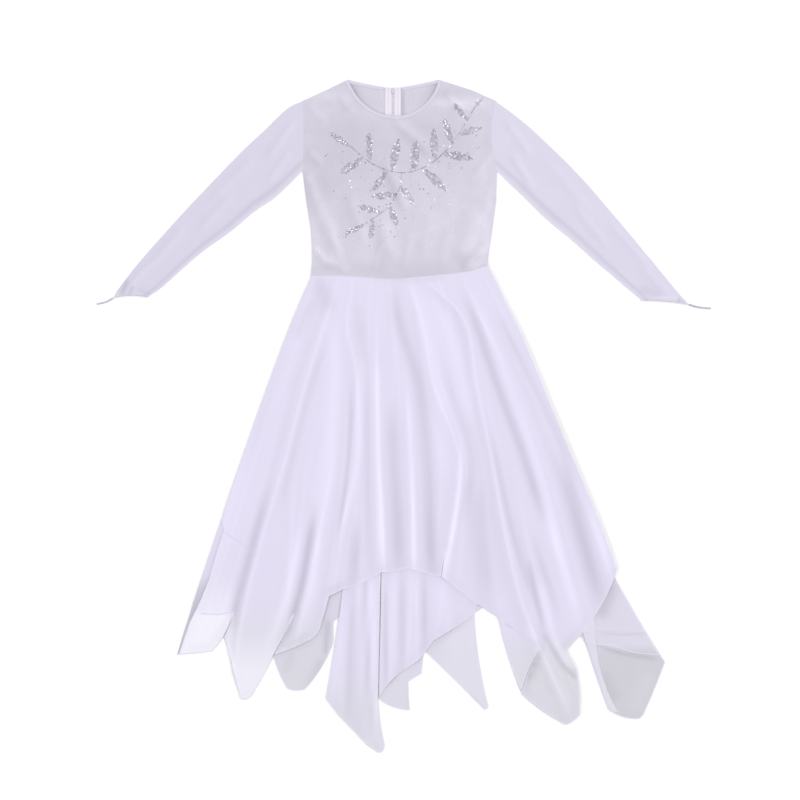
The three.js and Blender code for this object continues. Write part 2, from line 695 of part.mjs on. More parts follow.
function sleeve(rows) {
  const last = rows.length - 1;
  const mirror = rows[0].outerX > 0;
  const rings = [];
  for (let k = 0; k <= SLEEVE_STEPS; k += 1) {
    const s = (last * k) / SLEEVE_STEPS;
    const outer = [];
    const inner = [];
    const add = (t, zOut, zIn, inset) => {
      const p = sleevePoint(rows, s, t);
      outer.push(new THREE.Vector3(p.x, p.y, zOut));
      inner.push(new THREE.Vector3(p.x + p.along.x * inset, p.y + p.along.y * inset, zIn));
    };
    add(0, BODICE_LEVEL, BODICE_LEVEL, CLOTH);
    SLEEVE_TOP.forEach((t) => {
      const z = sleeveHeight(rows, s, t);
      add(t, z + CLOTH, z, 0);
    });
    add(1, BODICE_LEVEL, BODICE_LEVEL, -CLOTH);
    [...SLEEVE_UNDER].reverse().forEach((t) => add(t, 0, CLOTH, 0));
    rings.push({ outer, inner });
  }
  const count = rings[0].outer.length;
  const positions = [];
  rings.forEach((ring) => [...ring.outer, ...ring.inner].forEach((p) => positions.push(p.x, p.y, p.z)));
  const at = (k, j, skin) => k * 2 * count + skin * count + (j % count);
  const triangles = [];
  const quad = (a, b, c, d) => {
    if (mirror) triangles.push(a, c, b, a, d, c);
    else triangles.push(a, b, c, a, c, d);
  };
  for (let k = 0; k < SLEEVE_STEPS; k += 1) {
    for (let j = 0; j < count; j += 1) {
      quad(at(k, j, 0), at(k + 1, j, 0), at(k + 1, j + 1, 0), at(k, j + 1, 0));
      quad(at(k, j, 1), at(k, j + 1, 1), at(k + 1, j + 1, 1), at(k + 1, j, 1));
    }
  }
  const end = SLEEVE_STEPS;
  for (let j = 0; j < count; j += 1) {
    quad(at(0, j, 0), at(0, j + 1, 0), at(0, j + 1, 1), at(0, j, 1));
    quad(at(end, j, 1), at(end, j + 1, 1), at(end, j + 1, 0), at(end, j, 0));
  }
  return fromLists(positions, triangles);
}

// A finger loop: elastic that runs out to its end, turns round and comes back beside itself
function fingerLoop(rows) {
  const out = smoothRun(rows, LOOP_POINTS);
  const side = (LOOP.cord + LOOP.apart) / 2;
  const offset = (sign) =>
    out.map((p, i) => {
      const along = wayAt(out, i);
      return new THREE.Vector2(p.x - along.y * side * sign, p.y + along.x * side * sign);
    });
  const end = out[out.length - 1];
  const way = wayAt(out, out.length - 1);
  const turn = [-60, 0, 60].map((degrees) => {
    const angle = Math.atan2(way.y, way.x) - (degrees * Math.PI) / 180;
    return new THREE.Vector2(end.x + side * Math.cos(angle), end.y + side * Math.sin(angle));
  });
  const path = [...offset(1), ...turn, ...offset(-1).reverse()];
  const half = LOOP.cord / 2;
  const reach = end.distanceTo(out[0]);
  const low = half + LOOP.clear;
  const height = (p) => low + (BODICE_LEVEL - low) * smoothstep(p.distanceTo(end) / reach, 0.5, 1);
  const curve = new THREE.CatmullRomCurve3(path.map((p) => new THREE.Vector3(p.x, p.y, height(p))));
  const section = new THREE.Shape([
    new THREE.Vector2(-half, -half * 0.7),
    new THREE.Vector2(half, -half * 0.7),
    new THREE.Vector2(half, half * 0.7),
    new THREE.Vector2(0, half),
    new THREE.Vector2(-half, half * 0.7),
  ]);
  return new THREE.ExtrudeGeometry(section, { steps: LOOP_STEPS, bevelEnabled: false, extrudePath: curve });
}

// Skirt
function skirtSheet(mesh, heightAt) {
  const crests = [LEFT_MARGIN, ...FOLDS, RIGHT_MARGIN].map((fold) => fold.crest);
  const grid = [];
  for (let r = 0; r <= mesh.rows; r += 1) {
    const y = SKIRT_TOP + ((SKIRT_END - SKIRT_TOP) * r) / mesh.rows;
    const xs = crests.map((crest) => through(FOLD_LEVELS, crest, y));
    const row = [];
    xs.slice(0, -1).forEach((x, i) => {
      mesh.splits.forEach((t) => row.push(x + (xs[i + 1] - x) * t));
    });
    row.push(xs[xs.length - 1]);
    grid.push(row.map((x) => new THREE.Vector3(x, y, heightAt(x, y))));
  }
  return wall(grid, CLOTH);
}

function frontLayer(mesh, heightAt, hem) {
  return cutTo(skirtSheet(mesh, heightAt), skirtOutline(hem));
}

function backLayer(level, hem) {
  return prism(skirtOutline(hem), level, level + CLOTH);
}

// Colours
const KNIT = { color: 0xdedae6, roughness: 0.85, metalness: 0 };
const MESH_CLOTH = { color: 0xdcd9eb, roughness: 0.75, metalness: 0 };
const CHIFFON = { color: 0xe6e1f5, roughness: 0.7, metalness: 0 };
const CHIFFON_INSIDE = { color: 0xd7d7e1, roughness: 0.75, metalness: 0 };
const TAPE = { color: 0xd9d4e2, roughness: 0.8, metalness: 0 };
const SLIDER_METAL = { color: 0xc2c3cc, roughness: 0.35, metalness: 0.7 };

const dress = new THREE.Group();

function piece(name, geometry, look) {
  const mesh = new THREE.Mesh(geometry, new THREE.MeshStandardMaterial(look));
  mesh.name = name;
  dress.add(mesh);
}

const coilHalf = ZIP_COIL_WIDTH / 2;
const tapeNear = coilHalf + SEAM_GAP;
const tapeFar = tapeNear + ZIP_TAPE_WIDTH;

piece("bodice_front", bodiceFront(), KNIT);
piece("bodice_back_left", bodiceBack(-1), KNIT);
piece("bodice_back_right", bodiceBack(1), KNIT);
piece("neck_band_front", frontBand(), KNIT);
piece("neck_band_back_left", backBand(BACK_BAND_ENDS.left, ZIP_X - tapeFar - SEAM_GAP), KNIT);
piece("neck_band_back_right", backBand(ZIP_X + tapeFar + SEAM_GAP, BACK_BAND_ENDS.right), KNIT);
piece("zip_tape_left", zipStrip(ZIP_X - tapeFar, ZIP_X - tapeNear, CLOTH), TAPE);
piece("zip_tape_right", zipStrip(ZIP_X + tapeNear, ZIP_X + tapeFar, CLOTH), TAPE);
piece("zip_coil", zipStrip(ZIP_X - coilHalf, ZIP_X + coilHalf, ZIP_COIL_THICK), TAPE);
piece("zip_slider", zipSlider(), SLIDER_METAL);
piece("sleeve_left", sleeve(LEFT_SLEEVE), MESH_CLOTH);
piece("sleeve_right", sleeve(RIGHT_SLEEVE), MESH_CLOTH);
piece("finger_loop_left", fingerLoop(LEFT_LOOP), TAPE);
piece("finger_loop_right", fingerLoop(RIGHT_LOOP), TAPE);
piece("skirt_front_outer", frontLayer(OUTER_GRID, outerHeight, FRONT_OUTER_HEM), CHIFFON);
piece("skirt_front_under", frontLayer(UNDER_GRID, underHeight, FRONT_UNDER_HEM), CHIFFON);
piece("skirt_back_under", backLayer(SKIRT_LEVEL.backUnder, BACK_UNDER_HEM), CHIFFON_INSIDE);
piece("skirt_back_outer", backLayer(SKIRT_LEVEL.backOuter, BACK_OUTER_HEM), CHIFFON_INSIDE);

// The origin is at the middle of the box, on the surface
const box = new THREE.Box3().setFromObject(dress);
dress.position.set(-(box.min.x + box.max.x) / 2, -(box.min.y + box.max.y) / 2, -box.min.z);
dress.updateMatrixWorld(true);

export default dress;
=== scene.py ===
"""The looks of a long-sleeved dance dress with a pointed chiffon hem, laid flat with its front up.

Tables and lengths are in millimetres, with the zero where the middle of the waist seam is. X runs across the
dress, Y from the hem to the neck and Z up from the surface. place() turns them into metres in the frame.
"""

import math

import bpy
import numpy as np
from bpy.props import FloatProperty, FloatVectorProperty, PointerProperty
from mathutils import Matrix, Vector
from mathutils.geometry import delaunay_2d_cdt


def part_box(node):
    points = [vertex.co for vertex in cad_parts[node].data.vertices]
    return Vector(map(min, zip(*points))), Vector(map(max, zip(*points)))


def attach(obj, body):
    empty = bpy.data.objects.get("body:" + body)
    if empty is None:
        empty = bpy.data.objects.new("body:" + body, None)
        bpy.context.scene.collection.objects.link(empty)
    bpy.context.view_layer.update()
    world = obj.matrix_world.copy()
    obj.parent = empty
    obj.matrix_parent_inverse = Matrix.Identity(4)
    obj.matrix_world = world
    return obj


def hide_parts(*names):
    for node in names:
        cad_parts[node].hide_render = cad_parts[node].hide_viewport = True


bl_info = {
    "name": "Dance Dress",
    "version": (1, 0, 0),
    "blender": (4, 5, 0),
    "location": "View3D > Sidebar > Dress",
    "description": "Makes a long-sleeved dance dress with a layered, pointed chiffon skirt",
    "category": "Add Mesh",
}

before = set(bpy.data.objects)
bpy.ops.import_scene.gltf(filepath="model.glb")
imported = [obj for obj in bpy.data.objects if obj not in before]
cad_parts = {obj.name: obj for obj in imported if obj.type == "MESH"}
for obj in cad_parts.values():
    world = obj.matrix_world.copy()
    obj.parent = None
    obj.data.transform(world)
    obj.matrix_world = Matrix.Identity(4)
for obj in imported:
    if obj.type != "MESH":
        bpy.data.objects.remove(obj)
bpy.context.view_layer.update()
MM = 0.001

# The coil of the zip tells where the dress lies in the frame
COIL_LEFT = -16.5
COIL_BOTTOM = 22.0
COIL_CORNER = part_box("zip_coil")[0]
SHIFT = np.array([COIL_CORNER.x / MM - COIL_LEFT, COIL_CORNER.y / MM - COIL_BOTTOM, 0.0])

# Levels of the undersides of the layers, and the middle of a wall above its underside
BACK_OUTER = 0.0
BACK_UNDER = 1.4
FRONT_UNDER = 2.8
FRONT_OUTER = 4.2
BODICE_LEVEL = 1.3
HALF_WALL = 0.5
EDGE_STEP = 3.2
EDGE_CLEAR = 2.0


def table(columns, *rows):
    """Rows of numbers under named columns, as one array for each column."""
    values = np.array(rows, float)
    return {name: values[:, i] for i, name in enumerate(columns.split())}


WAIST = table("x y", (-177, -8), (-112, -8), (-18, -14), (35, -10), (123, -1), (175, 13))
FRONT_NECK = table(
    "x y", (-105, 384), (-84, 348), (-53, 322), (-18, 312), (17, 315), (49, 334), (69, 360), (77, 384)
)
BACK_NECK = table("x y", (-105, 384), (-66, 375), (-30, 369), (2, 369), (38, 375), (77, 384))

# Edges of the bodice by height: side seam, armhole from the underarm up, shoulder
BODICE_EDGES = table(
    "y left right",
    (-15, -177, 174),
    (20, -175, 175),
    (82, -178, 184),
    (140, -187, 192),
    (202, -195, 194),
    (226, -194, 185),
    (262, -193, 183),
    (304, -193, 186),
    (342, -194, 190),
    (363, -148, 143),
    (384, -105, 77),
)
UNDERARM = 202
SHOULDER = 342

# Creases from one end to the other, with their height and half width
CREASES = table(
    "x1 y1 x2 y2 lift wide",
    (-190, 196, -171, 146, 3.0, 12),
    (-171, 146, -127, 38, 3.0, 14),
    (-12, 304, 64, 237, 3.0, 12),
    (-27, 216, 11, 128, 3.0, 12),
    (-59, 126, -10, 23, 2.4, 18),
    (152, 124, 122, 24, 2.6, 20),
    (176, 62, 128, 8, 3.2, 10),
    (-166, 26, -104, 4, 2.4, 10),
    (-228, 286, -318, 176, 1.2, 16),
    (-240, 186, -330, 120, 1.2, 12),
    (-372, 132, -462, 30, 1.2, 14),
    (226, 282, 322, 178, 1.2, 16),
    (238, 186, 330, 104, 1.2, 12),
    (372, 128, 470, 22, 1.2, 14),
)
FINE_CREASES = table(
    "x1 y1 x2 y2 lift wide",
    (-186, 332, -150, 300, 0.8, 9),
    (-120, 352, -96, 318, 0.6, 8),
    (92, 352, 128, 322, 1.0, 7),
    (104, 330, 150, 318, 0.8, 6),
    (-184, 240, -158, 214, 0.9, 8),
    (182, 236, 150, 196, 0.9, 8),
    (188, 190, 166, 120, 0.8, 9),
    (-100, 150, -72, 62, 0.7, 10),
    (-140, 96, -118, 20, 0.6, 7),
    (60, 120, 44, 30, 0.6, 12),
    (96, 96, 84, 14, 0.5, 9),
    (20, 76, 6, 6, 0.5, 7),
    (-40, 60, -52, -2, 0.5, 6),
    (166, 30, 140, 6, 0.9, 5),
    (-176, 50, -150, 22, 0.8, 6),
)

SLEEVES = {
    "left": table(
        "outer_x outer_y inner_x inner_y bow puff",
        (-194.2, 342, -195.2, 202, 1, 1.6),
        (-226, 326, -215, 182, 3, 2.2),
        (-270, 284, -250, 149, 3, 2.4),
        (-318, 239, -292, 120, 2, 2.4),
        (-375, 180, -341, 79, 2, 2.3),
        (-430, 122, -388, 46, 2, 2.2),
        (-478, 69, -432, 9, 2, 2.1),
        (-526, 14, -474, -29, 2, 2.0),
        (-560, -30, -498, -46, 0, 1.9),
        (-573, -52, -504, -51, 5, 1.8),
    ),
    "right": table(
        "outer_x outer_y inner_x inner_y bow puff",
        (190.2, 342, 194.2, 202, 9, 1.6),
        (224, 317, 216, 180, 5, 2.2),
        (260, 288, 243, 155, 3, 2.4),
        (314, 237, 293, 106, 2, 2.4),
        (366, 184, 346, 62, 2, 2.3),
        (418, 124, 392, 21, 2, 2.2),
        (462, 72, 424, -6, 2, 2.1),
        (510, 14, 452, -30, 2, 2.0),
        (556, -42, 476, -50, 1, 1.9),
        (577, -65, 482, -57, 3, 1.8),
    ),
}
SLEEVE_CREASES = table(
    "x1 y1 x2 y2 lift wide",
    (-214, 300, -262, 232, 0.8, 8),
    (-222, 240, -262, 186, 0.7, 7),
    (-296, 226, -372, 148, 0.6, 10),
    (-340, 150, -402, 84, 0.7, 8),
    (-430, 92, -500, 12, 0.7, 8),
    (-500, 20, -548, -34, 0.6, 7),
    (212, 300, 258, 236, 0.8, 8),
    (224, 232, 262, 172, 0.8, 7),
    (300, 214, 376, 124, 0.6, 10),
    (350, 130, 412, 52, 0.7, 8),
    (420, 96, 498, 8, 0.7, 8),
    (480, 10, 540, -48, 0.6, 8),
)
LOOPS = {
    "left": table("x y", (-573.1, -52.2), (-588, -60), (-605, -64)),
    "right": table("x y", (577.2, -65.0), (596, -70.5), (620, -73)),
}

SKIRT_LEFT = table("x y", (-177, -8), (-213, -92), (-278, -268), (-353, -483), (-410, -652), (-446, -765))
SKIRT_RIGHT = table(
    "x y",
    (175, 13), (190, -16), (209, -56), (247, -136), (313, -296), (396, -496), (430, -590), (429, -609),
)

# Hems from left to right. The edge to the next corner bows outwards by bow.
BACK_OUTER_HEM = table(
    "x y bow",
    (-446, -765, 1), (-376, -758, 1), (-353, -728, 0), (-337, -778, 1), (-318, -852, 4),
    (-298, -848, 2), (-254, -766, 3), (-226, -833, 3), (-190, -835, 6), (-133, -740, 0),
    (-133, -700, 0), (-122, -690, -2), (-149, -852, 4), (-50, -956, 1), (-41, -961, 1), (-34, -957, 1),
    (-31, -944, -2), (-44, -853, 3), (0, -874, 1), (20, -876, -1), (17, -819, 0), (43, -803, 0),
    (48, -757, -1), (168, -875, 2), (177, -869, -5), (149, -683, 0), (167, -671, 0), (196, -692, 4),
    (243, -845, 4), (324, -902, 1), (334, -904, 1), (342, -899, 1), (359, -885, 3), (352, -792, 0),
    (331, -757, 0), (363, -717, 2), (416, -875, 5), (474, -894, 1), (483, -890, 1), (490, -878, 1),
    (530, -780, -2), (429, -609, 0),
)
BACK_UNDER_HEM = table(
    "x y bow",
    (-411, -656, 0), (-330, -652, 0), (-316, -740, 0), (-262, -742, 0), (-184, -716, 0),
    (-166, -632, 0), (-102, -614, 0), (-130, -830, 0), (-58, -856, 0), (0, -786, 0), (60, -722, 0),
    (150, -656, 0), (206, -684, 0), (262, -728, 0), (352, -716, 0), (370, -742, 1), (427, -747, 1),
    (461, -760, 1), (518, -766, -2), (429, -609, 0),
)
FRONT_UNDER_HEM = table(
    "x y bow",
    (-420, -683, 0), (-398, -684, 1), (-334, -678, 0), (-310, -742, 0), (-264, -744, 0),
    (-188, -720, 0), (-162, -626, 0), (-112, -606, 0), (-114, -634, -2), (-149, -852, 4),
    (-50, -956, 1), (-41, -961, 1), (-34, -957, 1), (-31, -944, -2), (-45, -853, 0), (-38.5, -578, 0),
    (-36.2, -578, 0), (-41.5, -850, -4), (5, -797, 1), (40, -773, 0), (67, -736, 2), (149, -683, 0),
    (160, -650, 0), (204, -672, 0), (300, -722, 0), (360, -700, 0), (424, -600, 0),
)
FRONT_OUTER_HEM = table(
    "x y bow",
    (-356, -492, 0), (-352, -518, 0), (-369, -569, 0), (-382, -616, 0), (-400, -660, 0),
    (-420, -700, 0), (-442, -764, 1), (-376, -758, 1), (-353, -728, 0), (-341, -703, 0),
    (-333.5, -680, 0), (-339.5, -703, 0), (-351.5, -729, 0), (-337, -778, 1), (-318, -852, 4),
    (-298, -848, 2), (-254, -766, 0), (-234, -730, 0), (-213, -684, 0), (-232.6, -730, 0),
    (-252, -765, 2), (-178, -734, 2), (-160, -712, 0), (-142, -648, 0), (-113, -634, 3), (-37, -600, 2),
    (14, -591, 1), (82, -608, 0), (90, -556, 0), (83.5, -609.5, 1), (136, -649, 1), (192, -688, 0),
    (197, -696, 4), (242, -837, 0), (251.5, -806, 0), (275.5, -752, 0), (253.5, -807, 0),
    (245, -844, 2), (324, -902, 1), (334, -904, 1), (342, -899, 1), (359, -885, 3), (352, -792, 0),
    (331, -757, 2), (387, -691, 3), (429, -609, 0),
)

# Folds of the skirt: the X of each crest at these heights, where it stands up, its height and its two slopes
FOLD_LEVELS = np.array([0, -90, -225, -375, -525, -675, -900], float)
FOLD_COLUMNS = "x0 x1 x2 x3 x4 x5 x6 start end lift left right"
LEFT_MARGIN = (-185, -222, -271, -326, -375, -426, -506)
RIGHT_MARGIN = (184, 234, 294, 354, 416, 482, 566)
FOLDS = table(
    FOLD_COLUMNS,
    (-146, -185, -232, -275, -322, -368, -420, -40, -720, 3.0, 28, 28),
    (-116, -146, -189, -229, -274, -311, -350, 0, -860, 8.5, 15, 34),
    (-110, -134, -160, -206, -216, -228, -262, -370, -760, 4.0, 12, 22),
    (-104, -122, -126, -134, -162, -194, -236, -330, -800, 6.0, 12, 30),
    (-98, -107, -85, -97, -116, -136, -150, -40, -760, 5.5, 16, 26),
    (-48, -47, -45, -42, -33, -30, -36, -60, -700, 6.5, 18, 12),
    (-12, 0, 14, 18, 31, 33, 20, -200, -760, 4.5, 16, 10),
    (4, 42, 67, 119, 104, 80, 60, 0, -780, 6.5, 15, 26),
    (30, 124, 152, 183, 210, 248, 345, 10, -900, 8.5, 14, 34),
    (60, 140, 190, 226, 252, 290, 378, -420, -860, 3.5, 10, 22),
    (95, 160, 222, 275, 318, 352, 420, -10, -560, 5.0, 22, 28),
    (160, 208, 268, 331, 391, 438, 486, -40, -700, 3.5, 20, 26),
)
UNDER_FOLDS = table(
    FOLD_COLUMNS,
    (-90, -92, -94, -96, -100, -108, -122, -634, -880, 4.0, 12, 20),
    (-52, -54, -56, -57, -58, -58, -62, -618, -960, 4.5, 20, 10),
    (-26, -26, -26, -26, -26, -22, -18, -610, -860, 4.0, 8, 16),
    (22, 24, 26, 28, 30, 34, 36, -606, -800, 3.5, 14, 14),
    (92, 92, 92, 92, 94, 96, 100, -634, -740, 3.0, 14, 14),
    (206, 206, 206, 206, 206, 216, 238, -748, -850, 2.5, 10, 16),
)
FINE_FOLDS = table(
    FOLD_COLUMNS,
    (-170, -214, -266, -314, -362, -412, -480, -120, -560, 1.2, 9, 12),
    (-160, -196, -244, -290, -336, -384, -440, -160, -700, 1.65, 7, 16),
    (-138, -174, -222, -262, -308, -352, -400, -220, -760, 1.35, 12, 8),
    (-124, -156, -200, -240, -285, -324, -366, -90, -520, 1.05, 5, 9),
    (-106, -124, -144, -182, -202, -222, -250, -240, -780, 1.5, 6, 10),
    (-100, -114, -108, -112, -128, -150, -172, -160, -700, 1.65, 6, 11),
    (-86, -86, -74, -82, -94, -108, -124, -100, -640, 1.35, 9, 6),
    (-62, -62, -56, -56, -56, -58, -62, -80, -620, 1.35, 7, 9),
    (-38, -34, -32, -28, -18, -14, -18, -140, -620, 1.5, 6, 8),
    (-20, -10, -2, 0, 12, 18, 8, -60, -580, 1.35, 8, 6),
    (2, 30, 52, 78, 78, 70, 56, -90, -600, 1.35, 6, 9),
    (10, 54, 84, 132, 124, 112, 110, -160, -640, 1.65, 8, 7),
    (20, 92, 124, 164, 180, 200, 250, -120, -760, 1.8, 7, 10),
    (46, 132, 166, 202, 232, 270, 360, -180, -820, 1.5, 9, 9),
    (86, 156, 214, 264, 306, 342, 412, -200, -640, 1.35, 7, 12),
    (112, 172, 232, 288, 334, 376, 440, -120, -720, 1.5, 9, 9),
    (144, 198, 258, 318, 372, 420, 476, -180, -600, 1.2, 10, 7),
    (178, 226, 290, 352, 412, 470, 530, -260, -640, 1.05, 7, 7),
)
WAIST_FOLDS = table(
    FOLD_COLUMNS,
    (-164, -200, -246, -300, -350, -400, -460, 6, -150, 1.3, 5, 7),
    (-140, -170, -210, -250, -290, -330, -370, 6, -110, 1.69, 5, 8),
    (-92, -104, -114, -120, -130, -140, -150, 4, -130, 1.82, 6, 8),
    (-58, -62, -62, -62, -62, -62, -62, 2, -160, 1.69, 6, 7),
    (-24, -16, -8, 0, 8, 16, 24, 2, -190, 1.82, 6, 8),
    (18, 36, 56, 74, 92, 110, 128, 4, -140, 1.56, 6, 6),
    (70, 100, 130, 160, 190, 220, 250, 8, -170, 1.82, 6, 9),
    (120, 160, 206, 250, 294, 338, 382, 12, -150, 1.69, 6, 8),
    (164, 208, 262, 316, 370, 424, 478, 16, -170, 1.17, 5, 6),
)
WAIST_FADE = 40

# Broad soft bands of painted light where tone is above 0 and painted shade where it is below, at the same
# heights as the folds; they also raise and sink the outer layer a little
BAND_COLUMNS = "x0 x1 x2 x3 x4 x5 x6 start end tone left right"
BANDS = table(
    BAND_COLUMNS,
    (-158, -166, -190, -220, -250, -290, -340, 20, -110, -0.8, 16, 24),
    (-180, -200, -222, -246, -288, -330, -400, -400, -760, -0.8, 9, 9),
    (-96, -128, -176, -215, -250, -290, -340, -100, -500, -0.5, 8, 8),
    (-112, -126, -131, -143, -168, -200, -240, -60, -540, 0.5, 15, 15),
    (-100, -120, -140, -158, -179, -210, -302, -440, -790, -1.1, 8, 8),
    (-110, -130, -160, -180, -201, -234, -320, -480, -790, 0.5, 10, 6),
    (-100, -110, -130, -146, -162, -188, -270, -460, -730, 0.5, 6, 9),
    (-112, -106, -98, -103, -124, -150, -180, -200, -560, -0.9, 5, 6),
    (-92, -88, -84, -86, -119, -146, -180, -160, -560, 0.7, 5, 7),
    (-84, -84, -84, -84, -88, -100, -110, -470, -680, -0.9, 9, 9),
    (-86, -84, -76, -70, -66, -60, -60, -30, -200, -0.7, 9, 11),
    (-64, -66, -66, -64, -60, -56, -50, -200, -640, -0.4, 8, 6),
    (-50, -50, -45, -43, -38, -34, -30, -140, -620, 0.9, 7, 7),
    (-24, -22, -18, -13, -5, -2, 0, -240, -640, -0.9, 13, 15),
    (0, 6, 14, 24, 26, 28, 30, -220, -650, 0.8, 5, 5),
    (-14, -3, 36, 54, 60, 64, 66, 0, -650, -1.1, 12, 12),
    (18, 42, 74, 88, 92, 96, 100, 0, -440, 0.45, 14, 18),
    (40, 62, 98, 142, 120, 110, 100, -140, -520, -0.6, 9, 9),
    (60, 80, 110, 121, 104, 66, 40, -310, -660, 0.8, 5, 5),
    (58, 92, 130, 158, 190, 230, 300, -10, -340, 0.5, 20, 9),
    (108, 146, 193, 248, 295, 335, 400, -10, -520, -1.1, 9, 12),
    (110, 130, 160, 191, 226, 272, 360, -290, -700, -0.7, 6, 10),
    (122, 165, 212, 267, 308, 345, 390, -10, -600, 0.5, 12, 11),
    (156, 199, 266, 333, 380, 420, 470, -50, -440, -0.7, 7, 9),
    (150, 200, 262, 322, 363, 402, 440, -340, -700, -0.95, 17, 15),
    (170, 210, 270, 346, 397, 440, 480, -420, -640, 0.5, 8, 9),
    (130, 180, 220, 262, 306, 352, 400, -470, -730, 0.5, 10, 10),
    (120, 160, 190, 225, 265, 312, 380, -500, -720, -0.6, 7, 7),
    (110, 130, 140, 150, 160, 175, 190, -380, -700, -0.6, 22, 22),
    (-170, -210, -256, -304, -352, -398, -460, -320, -660, 0.3, 16, 16),
)
UNDER_BANDS = table(
    BAND_COLUMNS,
    (-57, -57, -57, -57, -57, -54, -46, -560, -965, 1.0, 6, 6),
    (-68, -68, -68, -68, -68, -67, -60, -560, -950, -0.9, 5, 5),
    (-80, -80, -80, -80, -80, -80, -78, -560, -880, 0.5, 7, 6),
    (-96, -96, -96, -96, -96, -98, -104, -590, -930, -0.7, 9, 9),
    (-112, -112, -112, -112, -112, -118, -140, -620, -900, 0.7, 8, 9),
    (-28, -28, -28, -28, -28, -28, -30, -560, -860, -0.6, 5, 5),
    (-12, -12, -12, -12, -12, -12, -14, -560, -820, 0.5, 7, 6),
    (3, 3, 3, 3, 3, 4, 2, -560, -830, -0.8, 6, 7),
    (21, 21, 21, 21, 21, 20, 10, -560, -830, 0.6, 7, 9),
    (49, 49, 49, 49, 49, 49, 50, -560, -790, -0.9, 6, 6),
    (78, 78, 78, 78, 78, 80, 90, -570, -760, 0.3, 16, 16),
)
BAND_FADE = 100
BAND_RISE = 0.5

# Tones, which mostly paint light and shade on the cloth, run from minus to plus their reach, and these are
# the shares of the colour at its two ends
TONE_REACH = 2.0
DARKEST = 0.72
LIGHTEST = 1.28

# Short streaks of painted highlight and painted shade at the waist, at the points of the skirt and at the
# cuffs
STREAK_COLUMNS = "x1 y1 x2 y2 lift wide"
FRONT_LIGHT_AND_SHADE = table(
    STREAK_COLUMNS,
    (258, -580, 286, -722, -1.0, 6),
    (286, -722, 322, -782, -1.2, 6),
    (322, -782, 352, -812, -1.3, 5),
    (282, -620, 306, -735, 0.5, 8),
    (306, -735, 346, -792, 0.7, 7),
    (255, -706, 281, -764, 0.6, 7),
    (281, -764, 333, -860, 0.4, 9),
    (282, -752, 254, -822, -1.2, 7),
    (-350, -700, -366, -740, -0.5, 8),
    (-166, -14, -138, -76, -0.45, 16),
    (-176, -60, -206, -130, -0.4, 12),
    (-60, -8, 20, -16, -0.5, 8),
    (20, -16, 90, -10, -0.4, 8),
    (-410, -690, -440, -758, -0.4, 5),
)
BACK_LIGHT_AND_SHADE = table(
    STREAK_COLUMNS,
    (396, -722, 490, -725, -0.4, 4),
    (396, -748, 449, -764, -1.2, 4),
    (449, -764, 512, -774, -1.0, 4),
    (404, -800, 430, -860, -0.5, 14),
    (500, -800, 470, -880, 0.3, 18),
    (400, -692, 426, -622, -1.1, 15),
    (-143, -696, -150, -766, -1.3, 6),
    (-152, -772, -180, -832, -0.8, 12),
    (-232, -800, -214, -760, -0.4, 10),
    (168, -872, 118, -828, -0.7, 3),
    (18, -822, 19, -874, -0.6, 4),
    (60, -752, 140, -690, -0.5, 6),
)
CUFF_LIGHT_AND_SHADE = table(
    STREAK_COLUMNS,
    (-556, -46, -545, -16, -1.2, 5),
    (-569, -48, -560, -34, -0.9, 3),
    (-541, -47, -534, -28, -1.0, 4),
    (-524, -34, -500, -46, -0.5, 6),
    (480, -34, 522, -46, -0.6, 9),
    (554, -57, 572, -59, -1.2, 3),
    (508, -51, 562, -52, 0.6, 2),
)
# How each front layer sinks at its points: how far below the waist it starts and ends, and by how much
SETTLE = {"outer": (745, 800, 2.6), "under": (860, 920, 1.2)}

# Edges that lie on top: each line from its top down, the side that lies on top, its lift and its reach
TURNS = (
    (((275.5, -752), (252.5, -806.5), (243.5, -841)), -1, 2.4, 10.0),
    (((-213, -684), (-233.3, -730), (-253, -765.5)), -1, 2.6, 14.0),
    (((-333.5, -680), (-340.3, -703), (-352.3, -728.5)), -1, 2.0, 12.0),
    (((90, -556), (82.8, -609)), 1, 1.8, 14.0),
    (
        ((-352.8, -505), (-369.8, -569), (-382.8, -616), (-400.8, -660), (-420.8, -700), (-442.8, -764)), 1,
        1.8, 9.0
    ),
)
TURN_FADE = 40.0
FOLD_FADE = 120
UNDER_FADE = 60
CREST_ROUND = 0.06
UNDER_SHARE = 0.6
HEM_REST = 0.45
HEM_FALL = 20.0

# Soft ridges on the layers that show only at their points
BACK_RIDGES = table(
    "x1 y1 x2 y2 lift wide",
    (-436, -744, -412, -664, 1.6, 5),
    (-404, -758, -382, -690, 0.6, 8),
    (-214, -838, -196, -762, 1.0, 8),
    (-236, -800, -222, -752, 0.6, 6),
    (150, -850, 142, -730, 1.4, 6),
    (118, -800, 96, -730, 0.9, 9),
    (300, -880, 278, -780, 1.0, 9),
    (334, -890, 322, -820, 0.8, 7),
    (452, -884, 428, -780, 0.9, 12),
    (500, -850, 486, -780, 0.8, 8),
    (8, -862, 2, -806, 1.2, 6),
)
UNDER_RIDGES = table(
    "x1 y1 x2 y2 lift wide",
    (374, -742, 520, -768, 0.5, 4),
    (392, -719, 494, -721, 0.7, 4),
    (440, -700, 470, -640, 0.6, 10),
)


def smoothstep(x, low, high):
    """0 up to low, 1 from high on, and between them the share t of the way as 3 t squared less 2 t cubed."""
    t = np.clip((x - low) / (high - low), 0, 1)
    return t * t * (3 - 2 * t)


def held(tone):
    """A tone kept within its reach."""
    return np.clip(tone, -TONE_REACH, TONE_REACH)


